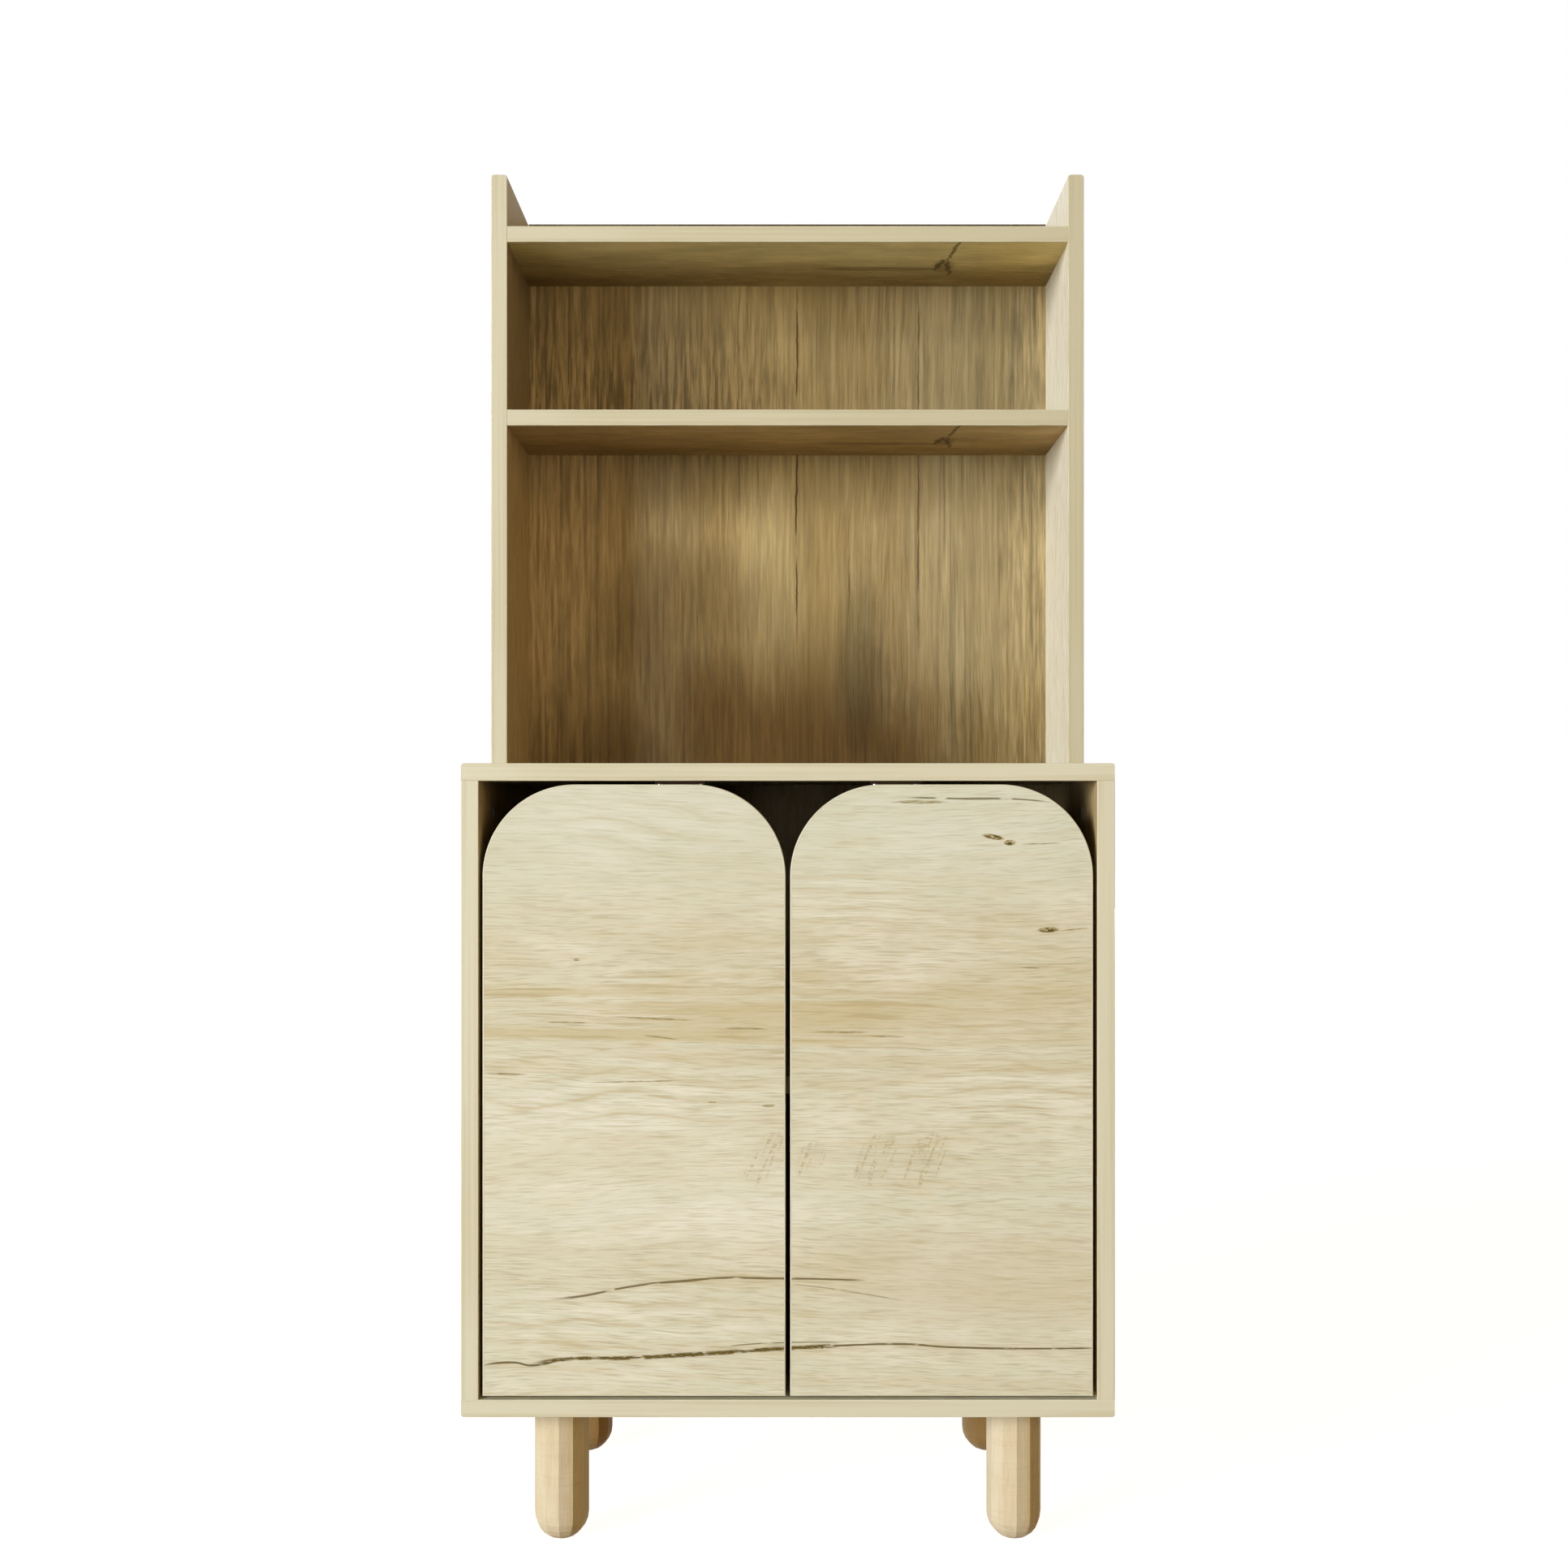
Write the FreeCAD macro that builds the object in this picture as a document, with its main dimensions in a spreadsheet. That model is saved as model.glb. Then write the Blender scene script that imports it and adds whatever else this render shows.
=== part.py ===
import FreeCAD, Part
import os
import re
from math import asin, cos, hypot, pi, radians, sin

import Sketcher

# Kitchen hutch: a two-door base cabinet on four faceted legs, with an open two-shelf hutch on its counter.
# Millimetres. +Z is up, the doors face -Y, and the origin is on the floor under the middle of the cabinet.

SIZES = {
    # boards of the base cabinet and the hutch
    "width": 675,
    "base_depth": 400,
    "base_height": 675,
    "hutch_depth": 200,
    "hutch_height": 675,
    "board": 18,
    "corner_round": 3,
    "edge_round": 0.8,
    "top_shelf_drop": 76.5,
    "shelf_bay": 191,
    # legs
    "leg_height": 150,
    "leg_radius": 29,
    "leg_side_inset": 96,
    "front_leg_inset": 71,
    "rear_leg_inset": 56,
    "hanger_diameter": 8,
    "hanger_wood_length": 38,
    "hanger_top_length": 12,
    "insert_diameter": 12,
    "insert_length": 13,
    # thin back of the base and the loose shelf
    "back_board": 3,
    "back_inset": 20,
    "groove_depth": 6,
    "groove_clear": 0.2,
    "shelf_rise": 310.5,
    "shelf_setback": 36,
    "shelf_clear": 0.8,
    "shelf_rear_clear": 2,
    "shelf_pin_diameter": 5,
    "shelf_pin_bore": 8,
    "shelf_pin_reach": 9,
    "shelf_pin_inset": 45,
    "shelf_seat": 0.2,
    # dowels, cam fittings and long screws
    "bore_clear": 0.1,
    "end_clear": 0.4,
    "dowel_diameter": 8,
    "dowel_length": 30,
    "dowel_face_bore": 12,
    "dowel_chamfer": 1,
    "dowel_inset": 60,
    "hutch_dowel_inset": 30,
    "bolt_inset": 100,
    "cam_diameter": 15,
    "cam_height": 12.5,
    "cam_drop": 34,
    "cam_slot_length": 10,
    "cam_slot_width": 2,
    "cam_slot_depth": 2.5,
    "cam_bolt_diameter": 6,
    "cam_bolt_thread": 11,
    "cam_bolt_head": 3,
    "cam_bolt_neck": 3.6,
    "cam_bolt_neck_length": 4,
    "screw_head": 10,
    "screw_head_height": 3,
    "screw_shank": 7,
    "screw_core": 5,
    "screw_length": 46,
    "cap_depth": 1.2,
    "shelf_screw_inset": 40,
    "back_screw_inset": 90,
    "hutch_screw_span": 220,
    # doors
    "door_board": 18,
    "side_gap": 4.5,
    "centre_gap": 5,
    "top_gap": 4,
    "bottom_gap": 4,
    "arch_radius": 95,
    # cup hinges
    "hinge_rise": 100,
    "hinge_below_arch": 55,
    "cup_edge": 21.5,
    "cup_diameter": 35,
    "cup_depth": 13,
    "cup_wall": 1.5,
    "cup_rim": 1,
    "flange_thickness": 1.5,
    "flange_width": 24,
    "flange_length": 62,
    "flange_round": 5,
    "cup_screw_span": 48,
    "pin_offset": 4.5,
    "pin_diameter": 4,
    "pin_end_clear": 0.1,
    "pin_fit": 0.05,
    "knuckle_diameter": 7,
    "knuckle_floor_gap": 0.5,
    "arm_thickness": 3,
    "arm_width": 12,
    "arm_bend": 4,
    "arm_leg": 44,
    "arm_screw_back": 10,
    "neck_angle": 30,
    "tail_clear": 1,
    "plate_thickness": 3,
    "plate_length": 46,
    "plate_height": 16,
    "plate_round": 3,
    "wing_width": 14,
    "wing_height": 50,
    "plate_screw_span": 34,
    "small_screw_head": 7,
    "small_head_height": 2,
    "small_screw_diameter": 3.5,
    "small_screw_length": 14,
    # magnetic catches
    "catch_from_edge": 110,
    "catch_width": 30,
    "catch_depth": 16,
    "catch_height": 20,
    "catch_gap": 0.3,
    "ear_width": 52,
    "ear_thickness": 3,
    "catch_screw_span": 42,
    "magnet_width": 22,
    "magnet_height": 8,
    "magnet_depth": 9,
    "strike_width": 34,
    "strike_height": 12,
    "strike_thickness": 1.2,
    "strike_drop": 9,
    "strike_head": 6,
}

# The foot is a dome of flat facets: rings of corners at these angles below its widest circle.
LEG_SIDES = 12
DOME_ANGLES = (75, 60, 45, 30, 15, 0)

V = FreeCAD.Vector
X_AXIS = V(1, 0, 0)
Y_AXIS = V(0, 1, 0)
Z_AXIS = V(0, 0, 1)
UPRIGHT = FreeCAD.Rotation()
HEAD_DOWN = FreeCAD.Rotation(X_AXIS, 180)
HEAD_BACK = FreeCAD.Rotation(X_AXIS, -90)
HEAD_RIGHT = FreeCAD.Rotation(Y_AXIS, 90)
HEAD_LEFT = FreeCAD.Rotation(Z_AXIS, 180).multiply(HEAD_RIGHT)

# Heights, planes and lengths that several pieces share, in the words of the sheet.
BASE_TOP_Z = "leg_height + base_height"
SIDE_Z = "(leg_height + board)"
SIDE_HEIGHT = "(base_height - 2 * board)"
SIDE_MIDDLE = "(width / 2 - board / 2)"
INNER_HALF = "(width / 2 - board)"
FRONT_Y = "-base_depth / 2"
REAR_Y = "base_depth / 2"
HUTCH_FRONT_Y = "(base_depth / 2 - hutch_depth)"
HUTCH_BACK_MIDDLE = "(base_depth / 2 - board / 2)"
BACK_REAR_Y = "(base_depth / 2 - back_inset)"
SHELF_BOTTOM = f"({SIDE_Z} + shelf_rise)"
SHELF_FRONT_Y = "(-base_depth / 2 + shelf_setback)"
SHELF_REAR_Y = f"({BACK_REAR_Y} - back_board - shelf_rear_clear)"
LEFT_AND_RIGHT = (f"-{SIDE_MIDDLE}", SIDE_MIDDLE)

# Bores and the spots where fasteners go.
DOWEL_BORE = "dowel_diameter + 2 * bore_clear"
DOWEL_FACE_DEPTH = "dowel_face_bore + end_clear"
DOWEL_EDGE_DEPTH = "dowel_length - dowel_face_bore + end_clear"
BOLT_BORE = "cam_bolt_diameter + 2 * bore_clear"
SMALL_BORE = "small_screw_diameter + 2 * bore_clear"
SCREW_PILOT_BORE = "screw_core + 2 * bore_clear"
SCREW_PILOT_DEPTH = "screw_length + cap_depth - board + end_clear"
BASE_DOWELS = ("dowel_inset - base_depth / 2", "base_depth / 2 - dowel_inset")
BASE_BOLTS = ("bolt_inset - base_depth / 2", "base_depth / 2 - bolt_inset")
HUTCH_DOWELS = (f"{HUTCH_FRONT_Y} + hutch_dowel_inset", "base_depth / 2 - hutch_dowel_inset")
SHELF_SCREWS = (f"{HUTCH_FRONT_Y} + shelf_screw_inset", "base_depth / 2 - board - shelf_screw_inset")
BACK_SCREWS = ("back_screw_inset", "hutch_height / 2", "hutch_height - back_screw_inset")
COUNTER_SCREWS = ("-hutch_screw_span", "0", "hutch_screw_span")
TOP_SHELF_RISE = "(hutch_height - top_shelf_drop)"
MID_SHELF_RISE = f"({TOP_SHELF_RISE} - shelf_bay - board)"
SHELF_RISES = {"hutch_top_shelf": TOP_SHELF_RISE, "hutch_mid_shelf": MID_SHELF_RISE}
SHELF_PINS = (f"{SHELF_FRONT_Y} + shelf_pin_inset", f"{SHELF_REAR_Y} - shelf_pin_inset")
LEG_XS = ("leg_side_inset - width / 2", "width / 2 - leg_side_inset")
LEG_YS = ("front_leg_inset - base_depth / 2", "base_depth / 2 - rear_leg_inset")

# The left door, its hinge pins and its catch. The right ones are their mirror images.
DOOR_WIDTH = "(width / 2 - board - side_gap - centre_gap / 2)"
DOOR_HEIGHT = f"({SIDE_HEIGHT} - top_gap - bottom_gap)"
DOOR_EDGE_X = "(-width / 2 + board + side_gap)"
DOOR_BACK_Y = "(-base_depth / 2 + door_board)"
DOOR_Z = f"({SIDE_Z} + bottom_gap)"
PIN_BELOW_BACK = "(cup_depth - cup_wall - knuckle_diameter / 2 - knuckle_floor_gap)"
PIN_EDGE = "(cup_edge - pin_offset)"
PIN_X = f"({DOOR_EDGE_X} + {PIN_EDGE})"
PIN_Y = f"({DOOR_BACK_Y} - {PIN_BELOW_BACK})"
PIN_HALF = "(sqrt((cup_diameter / 2) ^ 2 - (pin_offset + pin_diameter / 2) ^ 2) - pin_end_clear)"
HINGE_RISES = ("hinge_rise", f"({DOOR_HEIGHT} - arch_radius - hinge_below_arch)")
GOOSENECK = f"(sqrt({PIN_EDGE} ^ 2 + (door_board - {PIN_BELOW_BACK}) ^ 2) + tail_clear + arm_thickness / 2)"
PLATE_SEAT = f"({PIN_EDGE} + side_gap)"
PLATE_START = f"({GOOSENECK} + arm_bend)"
PLATE_END = f"({PLATE_START} + plate_length)"
PLATE_MIDDLE = f"({PLATE_START} + plate_length / 2)"
ARM_LINE = f"(plate_thickness + arm_thickness / 2 - {PLATE_SEAT})"
ARM_SCREW_Y = f"({PLATE_START} + arm_leg - arm_screw_back)"
CATCH_X = "(-centre_gap / 2 - catch_from_edge)"
CATCH_Y = f"({DOOR_BACK_Y} + strike_thickness + catch_gap)"
CATCH_SCREWS = ("-catch_screw_span / 2", "catch_screw_span / 2")
STRIKE_Z = f"({DOOR_Z} + {DOOR_HEIGHT} - strike_drop)"
MAGNET_DROP = "(top_gap + strike_drop)"

doc = FreeCAD.newDocument("kitchen_hutch")
sheet = doc.addObject("Spreadsheet::Sheet", "Sizes")
for row, (name, value) in enumerate(SIZES.items(), 1):
    sheet.set(f"A{row}", name)
    sheet.set(f"B{row}", str(value))
    sheet.setAlias(f"B{row}", name)
doc.recompute()

SIZE_NAMES = re.compile(r"\b(" + "|".join(SIZES) + r")\b")
parts = []


def bind(target, path, text):
    """Tie one property of an object to an expression written with the sheet's names."""
    target.setExpression(path, SIZE_NAMES.sub(r"Sizes.\1", text))


def place(target, x="0", y="0", z="0"):
    """Tie an object's position to three expressions."""
    for axis, text in zip("xyz", (x, y, z)):
        bind(target, f"Placement.Base.{axis}", text)


def keep(target, label):
    """Name a finished sub-part and list it for export."""
    target.Label = label
    parts.append(target)
    return target


def spots(xs, ys):
    return [(x, y) for x in xs for y in ys]


def new_body(name, x="0", y="0", z="0"):
    body = doc.addObject("PartDesign::Body", name)
    place(body, x, y, z)
    return body


def new_sketch(body, role, offset="0"):
    """A sketch on one of the body's own origin planes, moved along that plane's normal."""
    sketch = body.newObject("Sketcher::SketchObject", f"{body.Name}_sketch")
    plane = next(item for item in body.Origin.OriginFeatures if item.Role == role)
    sketch.AttachmentSupport = (plane, [""])
    sketch.MapMode = "FlatFace"
    bind(sketch, "AttachmentOffset.Base.z", offset)
    return sketch


def fix(sketch, kind, text, *where):
    """Add one driving dimension to a sketch and tie it to an expression."""
    index = sketch.addConstraint(Sketcher.Constraint(kind, *where, 1.0))
    bind(sketch, f"Constraints[{index}]", text)


def add_outline(sketch, points):
    """A closed outline of straight lines; each corner is a pair of expressions."""
    count = len(points)
    turn = 2 * pi / count
    corners = [V(cos(turn * step), sin(turn * step), 0) for step in range(count)]
    first = sketch.GeometryCount
    for step in range(count):
        sketch.addGeometry(Part.LineSegment(corners[step], corners[(step + 1) % count]))
    for step in range(count):
        following = first + (step + 1) % count
        sketch.addConstraint(Sketcher.Constraint("Coincident", first + step, 2, following, 1))
    for step, (x, y) in enumerate(points):
        fix(sketch, "DistanceX", x, -1, 1, first + step, 1)
        fix(sketch, "DistanceY", y, -1, 1, first + step, 1)


def add_rectangle(sketch, left, bottom, right, top):
    add_outline(sketch, [(left, bottom), (right, bottom), (right, top), (left, top)])


def add_circle(sketch, x, y, diameter):
    index = sketch.addGeometry(Part.Circle(V(1, 1, 0), Z_AXIS, 1.0))
    fix(sketch, "DistanceX", x, -1, 1, index, 3)
    fix(sketch, "DistanceY", y, -1, 1, index, 3)
    fix(sketch, "Diameter", diameter, index)


def pad(body, sketch, length, against=False):
    """Thicken a sketch along its plane's normal, or against it."""
    feature = body.newObject("PartDesign::Pad", f"{body.Name}_pad")
    feature.Profile = sketch
    feature.Reversed = against
    bind(feature, "Length", length)
    doc.recompute()


def cut(body, sketch, depth, ahead):
    """Pocket a sketch along its plane's normal (ahead) or against it, and prove that it removed material."""
    before = body.Shape.Volume
    feature = body.newObject("PartDesign::Pocket", f"{body.Name}_pocket")
    feature.Profile = sketch
    feature.Reversed = ahead
    bind(feature, "Length", depth)
    doc.recompute()
    if body.Shape.Volume >= before:
        raise RuntimeError(f"a pocket of {body.Name} cuts nothing")


def drill(body, role, offset, where, diameter, depth, ahead):
    """Bores of one size at several spots of one face."""
    sketch = new_sketch(body, role, offset)
    for x, y in where:
        add_circle(sketch, x, y, diameter)
    cut(body, sketch, depth, ahead)


def screw_hole(body, role, where, ahead):
    """Through holes for long screws, with wider mouths for their sunk heads."""
    drill(body, role, "0", where, "screw_shank + 2 * bore_clear", "board", ahead)
    mouth_depth = "cap_depth + screw_head_height"
    drill(body, role, "0", where, "screw_head + 2 * bore_clear", mouth_depth, ahead)


def round_edges(body, radius, chosen):
    """Fillet the edges whose middle point, direction and solid's box pass the test."""
    solid = body.Tip
    names = []
    for index, edge in enumerate(solid.Shape.Edges, 1):
        middle = edge.valueAt((edge.FirstParameter + edge.LastParameter) / 2)
        direction = edge.tangentAt(edge.FirstParameter)
        if chosen(middle, direction, solid.Shape.BoundBox):
            names.append(f"Edge{index}")
    feature = body.newObject("PartDesign::Fillet", f"{body.Name}_round")
    feature.Base = (solid, names)
    bind(feature, "Radius", radius)
    doc.recompute()


def along(direction, axis):
    return abs(direction.dot(axis)) > 0.999


def near(value, limit):
    return abs(value - limit) < 0.001


def turned(name, profile):
    """A lathe-turned piece about Z: the profile is a list of (radius, height) expressions."""
    body = new_body(name)
    sketch = new_sketch(body, "XZ_Plane")
    add_outline(sketch, profile)
    feature = body.newObject("PartDesign::Revolution", f"{name}_turn")
    feature.Profile = sketch
    feature.ReferenceAxis = (sketch, ["V_Axis"])
    feature.Angle = 360
    doc.recompute()
    return body


def copies(label, master, places):
    """One node of equal pieces: each place is x, y, z and a rotation."""
    links = []
    for x, y, z, rotation in places:
        link = doc.addObject("App::Link", f"{label}_copy")
        link.LinkedObject = master
        link.Placement.Rotation = rotation
        place(link, x, y, z)
        links.append(link)
    group = doc.addObject("Part::Compound", label)
    group.Links = links
    return keep(group, label)


def mirrored(label, source):
    """The same piece on the other side of the cabinet."""
    other = doc.addObject("Part::Mirroring", label)
    other.Source = source
    other.Normal = X_AXIS
    return keep(other, label)


def cylinder(name, radius, height):
    tool = doc.addObject("Part::Cylinder", name)
    bind(tool, "Radius", radius)
    bind(tool, "Height", height)
    return tool


def less(name, solid, tool):
    result = doc.addObject("Part::Cut", name)
    result.Base = solid
    result.Tool = tool
    return result


# Turned hardware

dowel = turned("dowel", [
    ("0", "0"),
    ("dowel_diameter / 2 - dowel_chamfer", "0"),
    ("dowel_diameter / 2", "dowel_chamfer"),
    ("dowel_diameter / 2", "dowel_length - dowel_chamfer"),
    ("dowel_diameter / 2 - dowel_chamfer", "dowel_length"),
    ("0", "dowel_length"),
])
long_screw = turned("long_screw", [
    ("0", "0"),
    ("screw_head / 2", "0"),
    ("screw_shank / 2", "-screw_head_height"),
    ("screw_shank / 2", "cap_depth - board"),
    ("screw_core / 2", "cap_depth - board"),
    ("screw_core / 2", "screw_core / 2 - screw_length"),
    ("0", "-screw_length"),
])
screw_cap = turned("screw_cap", [
    ("0", "bore_clear"),
    ("screw_head / 2", "bore_clear"),
    ("screw_head / 2", "cap_depth"),
    ("0", "cap_depth"),
])
small_screw = turned("small_screw", [
    ("0", "-small_screw_length"),
    ("small_screw_diameter / 2", "small_screw_diameter - small_screw_length"),
    ("small_screw_diameter / 2", "0"),
    ("small_screw_head / 2", "0"),
    ("small_screw_head / 2", "small_head_height / 2"),
    ("small_screw_head / 4", "small_head_height"),
    ("0", "small_head_height"),
])
arm_screw = turned("arm_screw", [
    ("0", "bore_clear - arm_thickness - plate_thickness"),
    ("small_screw_diameter / 2", "bore_clear - arm_thickness - plate_thickness"),
    ("small_screw_diameter / 2", "0"),
    ("small_screw_head / 2", "0"),
    ("small_screw_head / 2", "small_head_height"),
    ("0", "small_head_height"),
])
strike_screw = turned("strike_screw", [
    ("0", "-small_screw_length"),
    ("small_screw_diameter / 2", "small_screw_diameter - small_screw_length"),
    ("small_screw_diameter / 2", "-strike_thickness"),
    ("strike_head / 2", "-strike_thickness"),
    ("strike_head / 2", "0"),
    ("0", "0"),
])
hinge_pin = turned("hinge_pin", [
    ("0", f"-{PIN_HALF}"),
    ("pin_diameter / 2", f"-{PIN_HALF}"),
    ("pin_diameter / 2", PIN_HALF),
    ("0", PIN_HALF),
])
shelf_pin = turned("shelf_pin", [
    ("0", "-shelf_pin_bore"),
    ("shelf_pin_diameter / 2", "-shelf_pin_bore"),
    ("shelf_pin_diameter / 2", "shelf_pin_reach"),
    ("0", "shelf_pin_reach"),
])
hanger_bolt = turned("hanger_bolt", [
    ("0", "-hanger_wood_length"),
    ("hanger_diameter / 2", "hanger_diameter / 2 - hanger_wood_length"),
    ("hanger_diameter / 2", "hanger_top_length"),
    ("0", "hanger_top_length"),
])
insert_nut = turned("insert_nut", [
    ("hanger_diameter / 2 + bore_clear", "0"),
    ("insert_diameter / 2", "0"),
    ("insert_diameter / 2", "insert_length"),
    ("hanger_diameter / 2 + bore_clear", "insert_length"),
])

BOLT_END = "end_clear - cam_drop"
BOLT_NECK_START = f"{BOLT_END} + cam_bolt_head"
BOLT_NECK_END = f"{BOLT_NECK_START} + cam_bolt_neck_length"
cam_bolt = turned("cam_bolt", [
    ("0", BOLT_END),
    ("cam_bolt_diameter / 2", BOLT_END),
    ("cam_bolt_diameter / 2", BOLT_NECK_START),
    ("cam_bolt_neck / 2", BOLT_NECK_START),
    ("cam_bolt_neck / 2", BOLT_NECK_END),
    ("cam_bolt_diameter / 2", BOLT_NECK_END),
    ("cam_bolt_diameter / 2", "cam_bolt_thread"),
    ("0", "cam_bolt_thread"),
])

# The cam lies in the side's inner face. The bolt's head comes to its centre through a bore in its rim.
cam_lock = turned("cam_lock", [
    ("0", "0"),
    ("cam_diameter / 2", "0"),
    ("cam_diameter / 2", "cam_height"),
    ("0", "cam_height"),
])
drill(cam_lock, "YZ_Plane", "-cam_diameter", [("0", "cam_height - board / 2")],
      BOLT_BORE, "cam_diameter", True)
slot = new_sketch(cam_lock, "XY_Plane", "cam_height")
add_rectangle(slot, "-cam_slot_length / 2", "-cam_slot_width / 2",
              "cam_slot_length / 2", "cam_slot_width / 2")
cut(cam_lock, slot, "cam_slot_depth", False)

# Base cabinet: two sides between a full-width top and bottom, and a thin back in a groove all round

GROOVE_FRONT = f"{BACK_REAR_Y} - back_board - groove_clear"
GROOVE_REAR = f"{BACK_REAR_Y} + groove_clear"
GROOVE_HALF = f"({INNER_HALF} + groove_depth)"

base_side = new_body("base_side", "-width / 2", "0", SIDE_Z)
face = new_sketch(base_side, "YZ_Plane")
add_rectangle(face, FRONT_Y, "0", REAR_Y, SIDE_HEIGHT)
pad(base_side, face, "board")
round_edges(base_side, "edge_round", lambda middle, way, box: near(middle.y, box.YMin) and along(way, Z_AXIS))
groove = new_sketch(base_side, "YZ_Plane", "board")
add_rectangle(groove, GROOVE_FRONT, "0", GROOVE_REAR, SIDE_HEIGHT)
cut(base_side, groove, "groove_depth", False)
cam_rises = [f"{SIDE_HEIGHT} - cam_drop"]
drill(base_side, "YZ_Plane", "board", spots(BASE_BOLTS, cam_rises),
      "cam_diameter + 2 * bore_clear", "cam_height + end_clear", False)
pin_rises = ["shelf_rise - shelf_seat - shelf_pin_diameter / 2"]
drill(base_side, "YZ_Plane", "board", spots(SHELF_PINS, pin_rises),
      "shelf_pin_diameter + 2 * bore_clear", "shelf_pin_bore + end_clear", False)
plate_screw_rises = [f"bottom_gap + {rise} {sign} plate_screw_span / 2"
                     for rise in HINGE_RISES for sign in "-+"]
drill(base_side, "YZ_Plane", "board", spots([f"{PIN_Y} + {PLATE_MIDDLE}"], plate_screw_rises),
      SMALL_BORE, "small_screw_length - plate_thickness + end_clear", False)
edge_dowels = spots(["board / 2"], BASE_DOWELS)
edge_bolts = spots(["board / 2"], BASE_BOLTS)
drill(base_side, "XY_Plane", SIDE_HEIGHT, edge_dowels, DOWEL_BORE, DOWEL_EDGE_DEPTH, False)
drill(base_side, "XY_Plane", SIDE_HEIGHT, edge_bolts, BOLT_BORE, "cam_drop", False)
drill(base_side, "XY_Plane", "0", edge_dowels, DOWEL_BORE, DOWEL_EDGE_DEPTH, True)
drill(base_side, "XY_Plane", "0", edge_bolts, SCREW_PILOT_BORE, SCREW_PILOT_DEPTH, True)
keep(base_side, "base_left_side")
mirrored("base_right_side", base_side)


def end_board(label, z, outer_face, inner_face, ahead):
    """A full-width board over or under the sides, with rounded outer corners and the back's groove."""
    body = new_body(label, "0", "0", z)
    plan = new_sketch(body, "XY_Plane")
    add_rectangle(plan, "-width / 2", FRONT_Y, "width / 2", REAR_Y)
    pad(body, plan, "board")
    round_edges(body, "corner_round",
                lambda middle, way, box: along(way, Y_AXIS) and near(middle.z, outer_face(box)))
    round_edges(body, "edge_round", lambda middle, way, box: near(middle.y, box.YMin))
    drill(body, "XY_Plane", inner_face, spots(LEFT_AND_RIGHT, BASE_DOWELS),
          DOWEL_BORE, DOWEL_FACE_DEPTH, ahead)
    back_groove = new_sketch(body, "XY_Plane", inner_face)
    add_rectangle(back_groove, f"-{GROOVE_HALF}", GROOVE_FRONT, GROOVE_HALF, GROOVE_REAR)
    cut(body, back_groove, "groove_depth", ahead)
    return keep(body, label)


base_top = end_board("base_top", f"{BASE_TOP_Z} - board", lambda box: box.ZMax, "0", True)
drill(base_top, "XY_Plane", "0", spots(LEFT_AND_RIGHT, BASE_BOLTS),
      BOLT_BORE, "cam_bolt_thread + end_clear", True)
screw_hole(base_top, "XY_Plane", spots(COUNTER_SCREWS, [HUTCH_BACK_MIDDLE]), True)
drill(base_top, "XY_Plane", "board", spots(LEFT_AND_RIGHT, HUTCH_DOWELS),
      DOWEL_BORE, DOWEL_FACE_DEPTH, False)
catch_screw_xs = [f"{side}({CATCH_X} + {shift})" for side in "+-" for shift in CATCH_SCREWS]
drill(base_top, "XY_Plane", "0", spots(catch_screw_xs, [f"{CATCH_Y} + catch_depth / 2"]),
      SMALL_BORE, "small_screw_length - ear_thickness + end_clear", True)

base_bottom = end_board("base_bottom", "leg_height", lambda box: box.ZMin, "board", False)
screw_hole(base_bottom, "XY_Plane", spots(LEFT_AND_RIGHT, BASE_BOLTS), True)
drill(base_bottom, "XY_Plane", "0", spots(LEG_XS, LEG_YS),
      "insert_diameter + 2 * bore_clear", "insert_length + end_clear", True)

base_back = new_body("base_back", "0", BACK_REAR_Y, SIDE_Z)
face = new_sketch(base_back, "XZ_Plane")
back_half = f"({GROOVE_HALF} - groove_clear)"
back_reach = "groove_depth - groove_clear"
add_rectangle(face, f"-{back_half}", f"-({back_reach})", back_half, f"{SIDE_HEIGHT} + {back_reach}")
pad(base_back, face, "back_board")
keep(base_back, "base_back")

inner_shelf = new_body("inner_shelf", "0", "0", SHELF_BOTTOM)
plan = new_sketch(inner_shelf, "XY_Plane")
add_rectangle(plan, f"shelf_clear - {INNER_HALF}", SHELF_FRONT_Y, f"{INNER_HALF} - shelf_clear", SHELF_REAR_Y)
pad(inner_shelf, plan, "board")
round_edges(inner_shelf, "edge_round",
            lambda middle, way, box: near(middle.y, box.YMin) and along(way, X_AXIS))
keep(inner_shelf, "inner_shelf")

shelf_pin_z = f"{SHELF_BOTTOM} - shelf_seat - shelf_pin_diameter / 2"
copies("shelf_pins", shelf_pin,
       [(f"-{INNER_HALF}", y, shelf_pin_z, HEAD_RIGHT) for y in SHELF_PINS]
       + [(INNER_HALF, y, shelf_pin_z, HEAD_LEFT) for y in SHELF_PINS])
low_dowel_z = f"{SIDE_Z} - dowel_face_bore"
high_dowel_z = f"{BASE_TOP_Z} - board + dowel_face_bore - dowel_length"
copies("base_dowels", dowel,
       [(x, y, z, UPRIGHT) for x, y in spots(LEFT_AND_RIGHT, BASE_DOWELS)
        for z in (low_dowel_z, high_dowel_z)])
cam_z = f"{BASE_TOP_Z} - board - cam_drop"
copies("cam_locks", cam_lock,
       [(f"-({INNER_HALF} + cam_height)", y, cam_z, HEAD_RIGHT) for y in BASE_BOLTS]
       + [(f"{INNER_HALF} + cam_height", y, cam_z, HEAD_LEFT) for y in BASE_BOLTS])
copies("cam_bolts", cam_bolt,
       [(x, y, f"{BASE_TOP_Z} - board", UPRIGHT) for x, y in spots(LEFT_AND_RIGHT, BASE_BOLTS)])
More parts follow.
